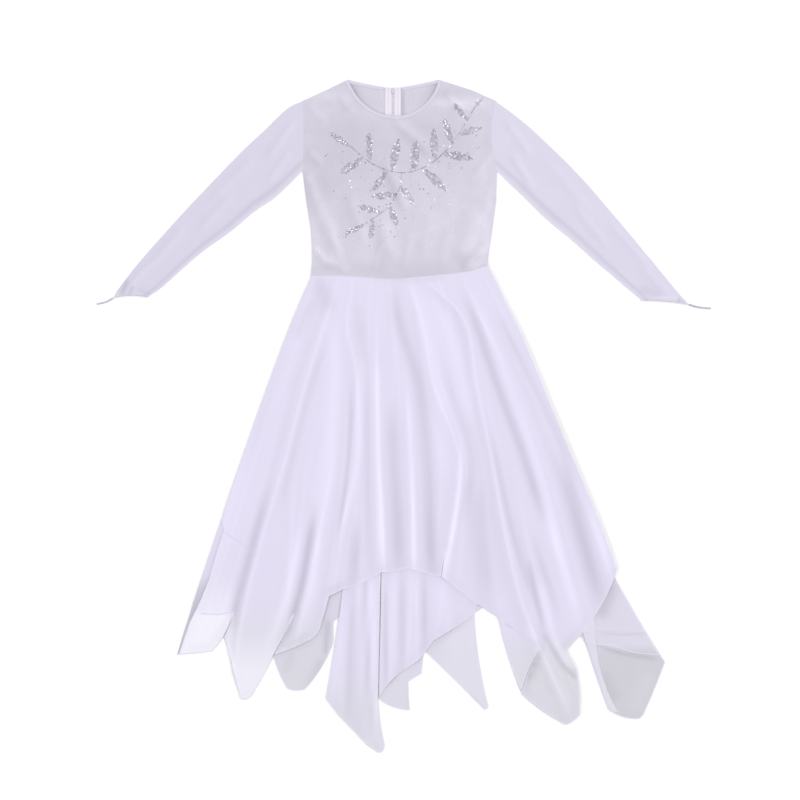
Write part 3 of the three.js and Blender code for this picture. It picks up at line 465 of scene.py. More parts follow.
def through(levels, values, at):
    """The cubic through a table: Hermite pieces whose slope at a row is the slope between its two
    neighbours."""
    order = np.argsort(levels)
    x, y = np.asarray(levels, float)[order], np.asarray(values, float)[order]
    rows = np.arange(len(x))
    before, after = np.maximum(rows - 1, 0), np.minimum(rows + 1, len(x) - 1)
    slope = (y[after] - y[before]) / (x[after] - x[before])
    i = np.clip(np.searchsorted(x, at) - 1, 0, len(x) - 2)
    span = x[i + 1] - x[i]
    t = np.clip((at - x[i]) / span, 0, 1)
    near = (2 * t**3 - 3 * t**2 + 1) * y[i] + (t**3 - 2 * t**2 + t) * span * slope[i]
    far = (3 * t**2 - 2 * t**3) * y[i + 1] + (t**3 - t**2) * span * slope[i + 1]
    return near + far


def points_of(rows):
    """The x and y columns of a table as points."""
    return np.stack([rows["x"], rows["y"]], axis=-1)


def lengths_along(line):
    """How far along a run of points each of them is."""
    return np.concatenate([[0], np.cumsum(np.linalg.norm(np.diff(line, axis=0), axis=1))])


def spaced(line, step):
    """The same run of points, with points about one step apart."""
    along = lengths_along(line)
    at = np.linspace(0, along[-1], max(2, math.ceil(along[-1] / step) + 1))
    return np.stack([np.interp(at, along, line[:, k]) for k in range(line.shape[1])], axis=-1)


def smooth_run(rows, step=EDGE_STEP):
    """A smooth run through a table's points: the Catmull-Rom curve, with points one step apart."""
    p = points_of(rows)
    slope = np.empty_like(p)
    slope[1:-1] = (p[2:] - p[:-2]) / 2
    slope[0], slope[-1] = (p[1] - p[0]) / 2, (p[-1] - p[-2]) / 2
    at = np.linspace(0, len(p) - 1, 40 * len(p))
    i = np.minimum(at.astype(int), len(p) - 2)
    t = (at - i)[:, None]
    near = (2 * t**3 - 3 * t**2 + 1) * p[i] + (t**3 - 2 * t**2 + t) * slope[i]
    far = (3 * t**2 - 2 * t**3) * p[i + 1] + (t**3 - t**2) * slope[i + 1]
    return spaced(near + far, step)


def bowed_run(rows, step=EDGE_STEP):
    """A run of corners whose edges bow outwards, to the right of the way, by bow times 4 t (1 - t)."""
    p, runs = points_of(rows), []
    for start, end, bow in zip(p[:-1], p[1:], rows["bow"][:-1], strict=True):
        way = end - start
        out = np.array([way[1], -way[0]]) / np.linalg.norm(way)
        t = np.linspace(0, 1, max(2, math.ceil(np.linalg.norm(way) / step) + 1))[:-1, None]
        runs.append(start + way * t + out * bow * 4 * t * (1 - t))
    return np.concatenate([*runs, p[-1:]])


def ridges(rows, x, y):
    """The sum of soft ridges: each is its lift times exp of minus the square of the distance from its line
    over its half width, faded in and out at the line's two ends."""
    total = np.zeros(np.broadcast(x, y).shape)
    for x1, y1, x2, y2, lift, wide in zip(*rows.values(), strict=True):
        dx, dy = x2 - x1, y2 - y1
        length = math.hypot(dx, dy)
        t = ((x - x1) * dx + (y - y1) * dy) / length**2
        off = ((x - x1) * dy - (y - y1) * dx) / length
        ends = smoothstep(t, -0.15, 0.2) * (1 - smoothstep(t, 0.8, 1.15))
        total += lift * ends * np.exp(-((off / wide) ** 2))
    return total


def fold_ends(start, end, fade, y):
    """1 along a fold, falling to 0 at its start and at its end."""
    return smoothstep(start - y, -0.15 * fade, fade) * (1 - smoothstep(end - y, -fade, fade))


def folds(rows, fade, x, y):
    """The sum of folds with sharp crests: each is its lift times exp of minus the distance from its crest
    over the width of its slope, rounded at the crest and faded at both ends."""
    total = np.zeros(np.broadcast(x, y).shape)
    for *crest, start, end, lift, left, right in zip(*rows.values(), strict=True):
        off = x - through(FOLD_LEVELS, crest, y)
        far = off / np.where(off < 0, left, right)
        slope = np.exp(math.sqrt(CREST_ROUND) - np.sqrt(far**2 + CREST_ROUND))
        ends = fold_ends(start, end, fade, y)
        total += lift * slope * ends
    return total


def bands(rows, x, y):
    """The sum of soft bands: each is its tone times exp of minus the square of the distance from its line
    over its half width, faded at both ends."""
    total = np.zeros(np.broadcast(x, y).shape)
    for *line, start, end, tone, left, right in zip(*rows.values(), strict=True):
        off = x - through(FOLD_LEVELS, line, y)
        ends = smoothstep(start - y, 0, BAND_FADE) * (1 - smoothstep(end - y, -BAND_FADE, 0))
        total += tone * ends * np.exp(-((off / np.where(off < 0, left, right)) ** 2))
    return total


def settled(layer, y):
    """How far a layer sinks at its points, where the layers under it end."""
    start, end, sink = SETTLE[layer]
    return sink * smoothstep(-y, start, end)


def turned(x, y):
    """Lift of the edges that lie on top: on their upper side, lift times exp of minus the distance over the
    reach. Gives the lift, and the shade that each throws on the cloth beside it."""
    lifted, shade = np.zeros(np.broadcast(x, y).shape), np.zeros(np.broadcast(x, y).shape)
    for line, side, lift, reach in TURNS:
        line_x, line_y = np.array(line, float).T
        off = (x - np.interp(-y, -line_y, line_x)) * side
        near = smoothstep(-y, -line_y[0], -line_y[0] + TURN_FADE)
        near = near * (1 - smoothstep(-y, -line_y[-1], -line_y[-1] + TURN_FADE))
        lifted += np.where(off > 0, lift * near * np.exp(-np.abs(off) / reach), 0)
        shade += np.where(off > 0, 0.25 * near * np.exp(-np.abs(off) / 5), -near * np.exp(-np.abs(off) / 7))
    return lifted, shade


def cover(outline, hem_line, x, y):
    """1 where a layer lies, falling to 0 within 12 mm of its hem outside it."""
    found = inside(outline, np.column_stack([x, y]))
    return np.where(found, 1.0, 1 - smoothstep(distance_to(hem_line, x, y), 0, 12))


def back_level(x, y):
    """Middle of the upper one of the two back layers."""
    return BACK_OUTER + HALF_WALL + (BACK_UNDER - BACK_OUTER) * cover(BACK_UNDER_EDGE, BACK_UNDER_LINE, x, y)


def under_level(x, y):
    """Middle of the front layer beneath, without the folds that it shares. It comes down towards its hem."""
    rest = back_level(x, y) + HEM_REST
    free = FRONT_UNDER + HALF_WALL - settled("under", y)
    share = smoothstep(distance_to(UNDER_HEM_LINE, x, y), 0, HEM_FALL)
    return rest + (free - rest) * share + folds(UNDER_FOLDS, UNDER_FADE, x, y), share


def front_under_height(x, y):
    """Middle of the front layer beneath: its level, and a share of the folds above it."""
    level, share = under_level(x, y)
    return level + UNDER_SHARE * folds(FOLDS, FOLD_FADE, x, y) * (0.6 + 0.4 * share)


def front_outer_height(x, y):
    """Middle of the outer front layer: its level, which comes down to the layer beneath towards its hem, the
    main folds, the fine ones, those gathered at the waist and the edges that lie on top."""
    lies = cover(UNDER_EDGE, UNDER_HEM_LINE, x, y)
    rest = HEM_REST + lies * under_level(x, y)[0] + (1 - lies) * back_level(x, y)
    free = FRONT_OUTER + HALF_WALL - settled("outer", y)
    share = smoothstep(distance_to(OUTER_HEM_LINE, x, y), 0, HEM_FALL)
    level = np.maximum(rest, rest + (free - rest) * share)
    fine = 0.7 * folds(FINE_FOLDS, FOLD_FADE, x, y) + 0.7 * folds(WAIST_FOLDS, WAIST_FADE, x, y)
    fine += BAND_RISE * np.clip(bands(BANDS, x, y), -1.2, 1.2) * share
    return level + (folds(FOLDS, FOLD_FADE, x, y) + fine) * (0.6 + 0.4 * share) + turned(x, y)[0]


def back_under_height(x, y):
    """Middle of the back layer beneath, with ridges where it shows. It comes down towards its hem."""
    rest = BACK_OUTER + HALF_WALL + HEM_REST
    free = BACK_UNDER + HALF_WALL
    share = smoothstep(distance_to(BACK_UNDER_LINE, x, y), 0, HEM_FALL)
    return rest + (free - rest) * share + ridges(UNDER_RIDGES, x, y)


def back_outer_height(x, y):
    """Middle of the outer back layer, with ridges at the points that show."""
    return BACK_OUTER + HALF_WALL + ridges(BACK_RIDGES, x, y)


NECK_LINE = smooth_run(FRONT_NECK)
BACK_NECK_LINE = smooth_run(BACK_NECK)


def distance_to(line, x, y):
    """How far each place is from the nearest point of a run."""
    nearest = np.full(np.broadcast(x, y).shape, 1e9)
    for px, py in line:
        np.minimum(nearest, (x - px) ** 2 + (y - py) ** 2, out=nearest)
    return np.sqrt(nearest)


def bodice_height(x, y):
    """Underside of the bodice front: level, rise at the armhole and at the waist, puff in the middle,
    creases."""
    left = np.interp(y, BODICE_EDGES["y"], BODICE_EDGES["left"])
    right = np.interp(y, BODICE_EDGES["y"], BODICE_EDGES["right"])
    middle = np.sin(np.pi * np.clip((x - left) / (right - left), 0, 1)) ** 0.8
    below = distance_to(NECK_LINE, x, y)
    neck = 0.6 + 0.4 * smoothstep(below, 0, 70)
    arm = np.clip((y - UNDERARM) / (SHOULDER - UNDERARM), 0, 1)
    seam = 1.6 * np.sin(np.pi * arm) * (1 - middle)
    waist = (FRONT_OUTER - BODICE_LEVEL) * (1 - smoothstep(y, -10, 60))
    puff = 3 * middle * neck * smoothstep(y, -40, 90)
    fade = 1.15 * smoothstep(middle, 0, 0.5) * smoothstep(below, 0, 30)
    fine = 1.3 * ridges(FINE_CREASES, x, y) * smoothstep(middle, 0, 0.3) * smoothstep(below, 4, 20)
    return BODICE_LEVEL + seam + waist + puff + ridges(CREASES, x, y) * fade + fine


def bodice_middle(x, y):
    """Middle of the bodice front's wall."""
    return bodice_height(x, y) + HALF_WALL


def back_middle(x, y):
    """Middle of the bodice back, which lies flat."""
    return np.full(np.broadcast(x, y).shape, HALF_WALL)


def sleeve_points(rows, s, t):
    """A place on a sleeve: s counts the sections from the armhole, t runs from the outer edge to the inner
    one, and the section bows along the sleeve by bow times 4 t (1 - t)."""
    levels = np.arange(len(rows["bow"]))
    outer = np.stack([through(levels, rows[k], s) for k in ("outer_x", "outer_y")], axis=-1)
    inner = np.stack([through(levels, rows[k], s) for k in ("inner_x", "inner_y")], axis=-1)
    way = inner - outer
    width = np.linalg.norm(way, axis=-1, keepdims=True)
    along = way / width
    side = np.sign(rows["outer_x"][0])
    bow = through(levels, rows["bow"], s) * 4 * t * (1 - t)
    place_2d = outer + way * np.asarray(t)[..., None]
    place_2d = place_2d + side * np.stack([along[..., 1] * bow, -along[..., 0] * bow], axis=-1)
    return place_2d, through(levels, rows["puff"], s)


def sleeve_height(rows, s, t):
    """Underside of the upper wall of a sleeve: level, puff across the sleeve, and its creases."""
    p, puff = sleeve_points(rows, s, t)
    x, y = p[..., 0], p[..., 1]
    edge = np.clip(np.sin(np.pi * t), 0, 1) ** 0.8
    fine = ridges(SLEEVE_CREASES, x, y) * smoothstep(edge, 0.1, 0.6)
    return BODICE_LEVEL + puff * edge + smoothstep(s, 0, 1.5) * (ridges(CREASES, x, y) + fine)


# Outlines
def armhole(side, inset):
    """The head of a sleeve from the underarm to the shoulder, moved inwards."""
    t = np.linspace(1, 0, 44)
    head, _ = sleeve_points(SLEEVES[side], np.zeros(44), t)
    return head + [inset if side == "left" else -inset, 0]


def bodice_side(side):
    """Side seam, armhole and shoulder of one side of the bodice, from the waist up."""
    rows = np.stack([BODICE_EDGES[side], BODICE_EDGES["y"]], axis=-1)[1:-1]
    return np.concatenate([rows[rows[:, 1] < UNDERARM], armhole(side, 0.3), rows[rows[:, 1] > SHOULDER]])


def bodice_outline(neck):
    """The bodice round, from the left end of the waist."""
    waist = smooth_run(WAIST) + [0, 0.15]
    return np.concatenate([waist, bodice_side("right"), neck[::-1], bodice_side("left")[::-1]])


def skirt_outline(hem):
    """A layer of the skirt round: its left edge down, its hem, its right edge up and the waist back."""
    waist = smooth_run(WAIST) - [0, 0.15]
    left, right = smooth_run(SKIRT_LEFT), smooth_run(SKIRT_RIGHT)
    left = left[(left[:, 1] > hem["y"][0] + 4) & (left[:, 1] < -20)]
    right = right[(right[:, 1] > hem["y"][-1] + 9) & (right[:, 1] < 0)]
    return np.concatenate([left, bowed_run(hem), right[::-1], waist[::-1]])


OUTER_HEM_LINE = bowed_run(FRONT_OUTER_HEM, 3.5)
UNDER_HEM_LINE = bowed_run(FRONT_UNDER_HEM, 5.0)
BACK_UNDER_LINE = bowed_run(BACK_UNDER_HEM, 5.0)
UNDER_EDGE = skirt_outline(FRONT_UNDER_HEM)

# Hems of the layers beneath that show through the chiffon: the layer that they show on, and their run
SEEN_HEMS = (
    ("skirt_front_outer", table("x y", (-351, -521), (-327, -536), (-304, -554), (-288, -567))),
    ("skirt_front_outer", table("x y", (-398, -682), (-365, -684), (-336, -679))),
    ("skirt_front_outer", table("x y", (210, -702), (236, -719), (262, -737))),
    ("skirt_back_under", table("x y", (396, -718), (417, -721), (443, -724), (475, -722), (492, -721))),
)
BACK_UNDER_EDGE = skirt_outline(BACK_UNDER_HEM)


def closed_spaced(outline):
    """An outline with points about one step apart on each of its edges, and its corners kept."""
    ends = np.roll(outline, -1, axis=0)
    sizes = np.linalg.norm(ends - outline, axis=1)
    runs = [
        start + (end - start) * np.linspace(0, 1, max(2, math.ceil(size / EDGE_STEP) + 1))[:-1, None]
        for start, end, size in zip(outline, ends, sizes, strict=True)
        if size > 0.05
    ]
    return np.concatenate(runs)


def inside(outline, points):
    """Whether each point lies inside an outline: a ray to its right crosses the outline an odd number of
    times."""
    found = np.zeros(len(points), bool)
    ends = np.roll(outline, -1, axis=0)
    for (x1, y1), (x2, y2) in zip(outline, ends, strict=True):
        if y1 != y2:
            crosses = (points[:, 1] > y1) != (points[:, 1] > y2)
            at = x1 + (points[:, 1] - y1) / (y2 - y1) * (x2 - x1)
            found ^= crosses & (points[:, 0] < at)
    return found


def clear_of(outline, points, gap):
    """Whether each point is further than gap from every point of an outline."""
    found = np.ones(len(points), bool)
    for part in np.array_split(np.arange(len(points)), max(1, len(points) // 3000)):
        far = np.linalg.norm(points[part, None] - outline[None], axis=-1).min(axis=1)
        found[part] = far > gap
    return found


def crossed(rim, start, end):
    """Whether each edge from start to end crosses an outline: the ends of each lie on both sides of the
    other."""
    found = np.zeros(len(start), bool)
    way_x, way_y = (end - start).T
    for (x1, y1), (x2, y2) in zip(rim, np.roll(rim, -1, axis=0), strict=True):
        one = (x2 - x1) * (start[:, 1] - y1) - (y2 - y1) * (start[:, 0] - x1)
        other = (x2 - x1) * (end[:, 1] - y1) - (y2 - y1) * (end[:, 0] - x1)
        first = way_x * (y1 - start[:, 1]) - way_y * (x1 - start[:, 0])
        second = way_x * (y2 - start[:, 1]) - way_y * (x2 - start[:, 0])
        found |= (one * other <= 0) & (first * second <= 0)
    return found


def fill(outline, grid):
    """Triangles that fill an outline, on its own points and the grid's inside it, along the grid's columns.
    Gives the points and the triangles; the outline's own points come first."""
    rim = closed_spaced(outline)
    flat = grid.reshape(-1, 2)
    near = np.flatnonzero((flat >= rim.min(0)).all(1) & (flat <= rim.max(0)).all(1))
    near = near[inside(rim, flat[near])]
    near = near[clear_of(rim, flat[near], EDGE_CLEAR)]
    number = np.full(len(flat), -1)
    number[near] = np.arange(len(near)) + len(rim)
    number = number.reshape(grid.shape[:2])
    upper, lower = number[:-1].ravel(), number[1:].ravel()
    kept = (upper >= 0) & (lower >= 0)
    columns = np.stack([upper[kept], lower[kept]], axis=1)
    given = np.concatenate([rim, flat[near]])
    columns = columns[~crossed(rim, given[columns[:, 0]], given[columns[:, 1]])]
    found = delaunay_2d_cdt(given.tolist(), columns.tolist(), [list(range(len(rim)))], 1, 1e-7)
    points, triangles = np.array([tuple(p) for p in found[0]]), np.array(found[2])
    if len(points) != len(given) or triangles.shape[1] != 3:
        raise RuntimeError(f"an outline of {len(rim)} points crosses itself or a column")
    a, b, c = (points[triangles[:, k]] for k in range(3))
    turn = (b[:, 0] - a[:, 0]) * (c[:, 1] - a[:, 1]) - (b[:, 1] - a[:, 1]) * (c[:, 0] - a[:, 0])
    triangles[turn < 0] = triangles[turn < 0][:, ::-1]
    return points, triangles[np.abs(turn) > 1e-9], len(rim)


def place(points):
    """Points of the dress in millimetres as points of the frame in metres."""
    return (points + SHIFT) * MM


def new_piece(name, points, faces, look, node=None, tone=None, thin=None, path=None):
    """A piece at the origin from points in millimetres, its material and the CAD node it
    stands for. tone and thin are values for each point, and path a pair (along, round) for each one."""
    mesh = bpy.data.meshes.new(name)
    mesh.from_pydata(place(points).tolist(), [], faces)
    mesh.shade_smooth()
    mesh.set_sharp_from_angle(angle=math.radians(62))
    for key, values in (("tone", tone), ("thin", thin)):
        if values is not None:
            mesh.attributes.new(key, "FLOAT", "POINT").data.foreach_set("value", values.astype(np.float32))
    if path is not None:
        corner = np.empty(len(mesh.loops), np.int32)
        mesh.loops.foreach_get("vertex_index", corner)
        mesh.uv_layers.new(name="Path").data.foreach_set("uv", path[corner].astype(np.float32).ravel())
    mesh.materials.append(look)
    piece = bpy.data.objects.new(name, mesh)
    bpy.context.scene.collection.objects.link(piece)
    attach(piece, "root")
    if node:
        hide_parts(node)
    return piece


def run_piece(name, made, look, node=None):
    """A piece from points, faces and path, in the look of that name."""
    points, faces, path = made
    return new_piece(name, points, faces, LOOKS[look], node, path=path)


def cloth(name, outline, grid, height, thickness, look, node, tone, thin=None):
    """A sheet of cloth: an outline filled along a grid, with z = height(x, y) more and less half a thickness.
    Gives the piece, its flat width and length, and its flat area, all in metres."""
    flat, triangles, rim = fill(outline, grid)
    z = height(flat[:, 0], flat[:, 1])
    top = np.column_stack([flat, z + thickness / 2])
    under = np.column_stack([flat, z - thickness / 2])
    count = len(flat)
    edge = np.arange(rim)
    after = np.roll(edge, -1)
    walls = np.stack([edge, edge + count, after + count, after], axis=1)
    faces = triangles.tolist() + (triangles[:, ::-1] + count).tolist() + walls.tolist()
    light = np.tile(tone(flat[:, 0], flat[:, 1]), 2)
    single = None if thin is None else np.tile(thin(flat[:, 0], flat[:, 1]), 2)
    piece = new_piece(name, np.concatenate([top, under]), faces, look, node, tone=light, thin=single)
    a, b, c = (top[triangles[:, k]] for k in range(3))
    area = np.linalg.norm(np.cross(b - a, c - a), axis=1).sum() / 2 * MM**2
    width, length = (flat.max(0) - flat.min(0)) * MM
    return piece, (float(width), float(length)), float(area)


def sideways(line):
    """The unit way to the right of a run at each of its points, flat on the surface."""
    way = np.gradient(line[:, :2], axis=0)
    way /= np.maximum(np.linalg.norm(way, axis=1, keepdims=True), 1e-9)
    return np.stack([way[:, 1], -way[:, 0]], axis=-1)


def ring_faces(index):
    """Faces of a tube whose rings are the rows of numbers, with a face on each of its two ends."""
    near, after = index[:-1], index[1:]
    sides = np.stack([near, np.roll(near, -1, 1), np.roll(after, -1, 1), after], axis=-1).reshape(-1, 4)
    return [*sides.tolist(), index[0][::-1].tolist(), index[-1].tolist()]


def carried(line, section):
    """A closed section carried along a run: point = line + right * section's x + up * section's y. Gives the
    points, the faces and the pair (along, round) of each point."""
    across = sideways(line)[:, None] * section[None, :, :1]
    up = np.broadcast_to(section[None, :, 1], across.shape[:2])
    points = np.concatenate([line[:, None, :2] + across, (line[:, None, 2] + up)[..., None]], axis=-1)
    rows, columns = points.shape[:2]
    faces = ring_faces(np.arange(rows * columns).reshape(rows, columns))
    along = np.repeat(lengths_along(line) * MM, columns)
    around = np.tile(np.arange(columns) / columns, rows)
    return points.reshape(-1, 3), faces, np.stack([along, around], axis=-1)


def oval(half_width, half_height, count=8):
    """An oval section, turning so that a tube's faces point outwards."""
    angle = np.linspace(0, -2 * np.pi, count, endpoint=False)
    return np.stack([half_width * np.cos(angle), half_height * np.sin(angle)], axis=-1)


def joined(parts):
    """Several (points, faces, path) lists as one."""
    points, faces, paths, start = [], [], [], 0
    for p, f, path in parts:
        points.append(p)
        faces += [[start + i for i in face] for face in f]
        paths.append(path)
        start += len(p)
    return np.concatenate(points), faces, np.concatenate(paths)


def pathless(points, faces):
    """Points and faces with an empty path, to be joined with others."""
    return points, faces, np.zeros((len(points), 2))


def repeated(shape, faces, places, turns, sizes, tilts=None):
    """Copies of one small shape: each is scaled, turned about Z, tilted by adding slope times its own x and
    y to z, and moved to its place."""
    cos, sin = np.cos(turns)[:, None], np.sin(turns)[:, None]
    x, y = shape[None, :, 0] * sizes[:, None], shape[None, :, 1] * sizes[:, None]
    z = shape[None, :, 2] * sizes[:, None]
    turned_x, turned_y = x * cos - y * sin, x * sin + y * cos
    if tilts is not None:
        z = z + turned_x * tilts[:, :1] + turned_y * tilts[:, 1:]
    points = np.stack([turned_x, turned_y, z], axis=-1) + places[:, None]
    step = len(shape)
    copies = (np.arange(len(places)) * step).tolist()
    all_faces = [[start + i for i in face] for start in copies for face in faces]
    return points.reshape(-1, 3), all_faces


def stitch_shape(length, radius):
    """One stitch: a six-sided thread, thick in the middle and thin at both ends."""
    at = np.array([-0.5, -0.3, 0.0, 0.3, 0.5]) * length
    girth = np.array([0.25, 0.85, 1.0, 0.85, 0.25]) * radius
    angle = np.linspace(0, 2 * np.pi, 6, endpoint=False)
    x = np.repeat(at, 6)
    y = (girth[:, None] * np.cos(angle)).ravel()
    z = (girth[:, None] * np.sin(angle)).ravel()
    index = np.arange(30).reshape(5, 6)
    return np.stack([x, y, z], axis=-1), [face[::-1] for face in ring_faces(index)]


STITCH_PITCH = 3.6
STITCH_LENGTH = 2.4
STITCH_RADIUS = 0.22


def stitches(line):
    """A row of stitches along a run, as points and faces."""
    run = spaced(line, STITCH_PITCH)[:-1]
    way = np.gradient(run, axis=0)
    slope = way[:, 2] / np.maximum(np.hypot(way[:, 0], way[:, 1]), 1e-9)
    turns = np.arctan2(way[:, 1], way[:, 0])
    tilts = np.stack([np.cos(turns) * slope, np.sin(turns) * slope], axis=-1)
    shape, faces = stitch_shape(STITCH_LENGTH, STITCH_RADIUS)
    return repeated(shape, faces, run, turns, np.ones(len(run)), tilts)


# Materials
def socket(group, name, way, kind, value=None):
    """Adds an input or an output to a group of nodes."""
    made = group.interface.new_socket(name=name, in_out=way, socket_type=kind)
    if value is not None:
        made.default_value = value


class Wiring:
    """Adds nodes to a tree and joins them, so that a material reads as a list of steps."""

    def __init__(self, tree):
        self.tree = tree

    def node(self, kind, **settings):
        made = self.tree.nodes.new(kind)
        for name, value in settings.items():
            setattr(made, name, value)
        return made

    def put(self, target, value):
        """Joins a socket to another one, or sets its value."""
        if isinstance(value, bpy.types.NodeSocket):
            self.tree.links.new(value, target)
        else:
            target.default_value = value

    def math(self, operation, *values):
        made = self.node("ShaderNodeMath", operation=operation)
        for target, value in zip(made.inputs, values):
            self.put(target, value)
        return made.outputs[0]

    def mix(self, share, first, second):
        made = self.node("ShaderNodeMix", data_type="RGBA")
        self.put(made.inputs["Factor"], share)
        self.put(made.inputs[6], first)
        self.put(made.inputs[7], second)
        return made.outputs[2]

    def spread(self, value, low, high, to_low, to_high):
        made = self.node("ShaderNodeMapRange", clamp=True)
        for target, number in zip(made.inputs, (value, low, high, to_low, to_high)):
            self.put(target, number)
        return made.outputs[0]

    def bump(self, height, distance, normal=None):
        made = self.node("ShaderNodeBump")
        made.inputs["Strength"].default_value = 1.0
        made.inputs["Distance"].default_value = distance
        self.put(made.inputs["Height"], height)
        if normal is not None:
            self.put(made.inputs["Normal"], normal)
        return made.outputs[0]

    def group(self, name, **values):
        made = self.node("ShaderNodeGroup", node_tree=bpy.data.node_groups[name])
        for key, value in values.items():
            self.put(made.inputs[key.replace("_", " ")], value)
        return made


def woven_group():
    """Threads that cross: the product of two waves gives their height, and the finer one their shade."""
    group = bpy.data.node_groups.new("woven_threads", "ShaderNodeTree")
    socket(group, "Vector", "INPUT", "NodeSocketVector")
    socket(group, "Across", "INPUT", "NodeSocketFloat", 6000.0)
    socket(group, "Along", "INPUT", "NodeSocketFloat", 6000.0)
    socket(group, "Height", "OUTPUT", "NodeSocketFloat")
    socket(group, "Shade", "OUTPUT", "NodeSocketFloat")
    wire = Wiring(group)
    given, out = wire.node("NodeGroupInput"), wire.node("NodeGroupOutput")
    axes = wire.node("ShaderNodeSeparateXYZ")
    wire.put(axes.inputs[0], given.outputs["Vector"])
    across = wire.math("SINE", wire.math("MULTIPLY", axes.outputs["X"], given.outputs["Across"]))
    along = wire.math("SINE", wire.math("MULTIPLY", axes.outputs["Y"], given.outputs["Along"]))
    crossed = wire.math("MULTIPLY", across, along)
    wire.put(out.inputs["Height"], wire.spread(crossed, -1.0, 1.0, 0.0, 1.0))
    wire.put(out.inputs["Shade"], wire.spread(wire.math("ADD", across, along), -2.0, 2.0, 0.0, 1.0))


def mottle_group():
    """Uneven tone of washed cloth: a broad noise and a fine one, mixed."""
    group = bpy.data.node_groups.new("uneven_tone", "ShaderNodeTree")
    socket(group, "Vector", "INPUT", "NodeSocketVector")
    socket(group, "Broad", "INPUT", "NodeSocketFloat", 9.0)
    socket(group, "Fine", "INPUT", "NodeSocketFloat", 190.0)
    socket(group, "Fine Share", "INPUT", "NodeSocketFloat", 0.5)
    socket(group, "Mask", "OUTPUT", "NodeSocketFloat")
    wire = Wiring(group)
    given, out = wire.node("NodeGroupInput"), wire.node("NodeGroupOutput")
    masks = []
    for name in ("Broad", "Fine"):
        noise = wire.node("ShaderNodeTexNoise")
        wire.put(noise.inputs["Vector"], given.outputs["Vector"])
        wire.put(noise.inputs["Scale"], given.outputs[name])
        noise.inputs["Detail"].default_value = 3.0
        masks.append(wire.spread(noise.outputs["Fac"], 0.3, 0.7, 0.0, 1.0))
    mixed = wire.node("ShaderNodeMix", data_type="FLOAT")
    wire.put(mixed.inputs["Factor"], given.outputs["Fine Share"])
    wire.put(mixed.inputs[2], masks[0])
    wire.put(mixed.inputs[3], masks[1])
    wire.put(out.inputs["Mask"], mixed.outputs[0])


def crumple_group():
    """Small soft wrinkles: a noise stretched along the cloth, as a height."""
    group = bpy.data.node_groups.new("soft_wrinkles", "ShaderNodeTree")
    socket(group, "Vector", "INPUT", "NodeSocketVector")
    socket(group, "Scale", "INPUT", "NodeSocketFloat", 40.0)
    socket(group, "Height", "OUTPUT", "NodeSocketFloat")
    wire = Wiring(group)
    given, out = wire.node("NodeGroupInput"), wire.node("NodeGroupOutput")
    stretch = wire.node("ShaderNodeMapping")
    stretch.inputs["Scale"].default_value = (1.0, 0.35, 1.0)
    wire.put(stretch.inputs["Vector"], given.outputs["Vector"])
    noise = wire.node("ShaderNodeTexNoise")
    wire.put(noise.inputs["Vector"], stretch.outputs[0])
    wire.put(noise.inputs["Scale"], given.outputs["Scale"])
    noise.inputs["Detail"].default_value = 2.0
    wire.put(out.inputs["Height"], noise.outputs["Fac"])


def scaled(colour, share):
    """A colour made darker or lighter, with its alpha."""
    return (*[c * share for c in colour[:3]], 1.0)


def new_look(name):
    """A material, the wiring of its nodes, and its shader."""
    look = bpy.data.materials.new(name)
    look.use_nodes = True
    return look, Wiring(look.node_tree), look.node_tree.nodes["Principled BSDF"]


def cloth_look(
    name, colour, threads, bump=0.00005, wrinkle=0.0008, sheen=0.25, uneven=0.05, broad=9.0, thin=None
):
    """Cloth: its colour made lighter or darker by the tone of each point, which is painted light and shade,
    and paler where it is thin, uneven tone and threads over it, and the threads and small wrinkles as bump."""
    look, wire, shader = new_look(name)
    where = wire.node("ShaderNodeTexCoord").outputs["Object"]
    tone = wire.node("ShaderNodeAttribute", attribute_name="tone").outputs["Fac"]
    light = wire.spread(tone, -TONE_REACH, TONE_REACH, 0.0, 1.0)
    toned = wire.mix(light, scaled(colour, DARKEST), scaled(colour, LIGHTEST))
    if thin is not None:
        single = wire.node("ShaderNodeAttribute", attribute_name="thin").outputs["Fac"]
        paler = wire.mix(light, scaled(thin, DARKEST), scaled(thin, LIGHTEST))
        toned = wire.mix(single, toned, paler)
    mottle = wire.group("uneven_tone", Vector=where, Broad=broad)
    mottled = wire.mix(wire.math("MULTIPLY", mottle.outputs[0], uneven), toned, scaled(colour, 0.7))
    woven = wire.group("woven_threads", Vector=where, Across=threads[0], Along=threads[1])
    shaded = wire.mix(wire.math("MULTIPLY", woven.outputs["Shade"], 0.04), mottled, scaled(colour, 0.6))
    wire.put(shader.inputs["Base Color"], shaded)
    crumple = wire.group("soft_wrinkles", Vector=where, Scale=34.0)
    soft = wire.bump(crumple.outputs["Height"], wrinkle)
    wire.put(shader.inputs["Normal"], wire.bump(woven.outputs["Height"], bump, soft))
    wire.put(shader.inputs["Roughness"], wire.spread(woven.outputs["Height"], 0.0, 1.0, 0.8, 0.9))
    shader.inputs["Sheen Weight"].default_value = sheen
    shader.inputs["Sheen Roughness"].default_value = 0.4
    shader.inputs["Specular IOR Level"].default_value = 0.25
    return look


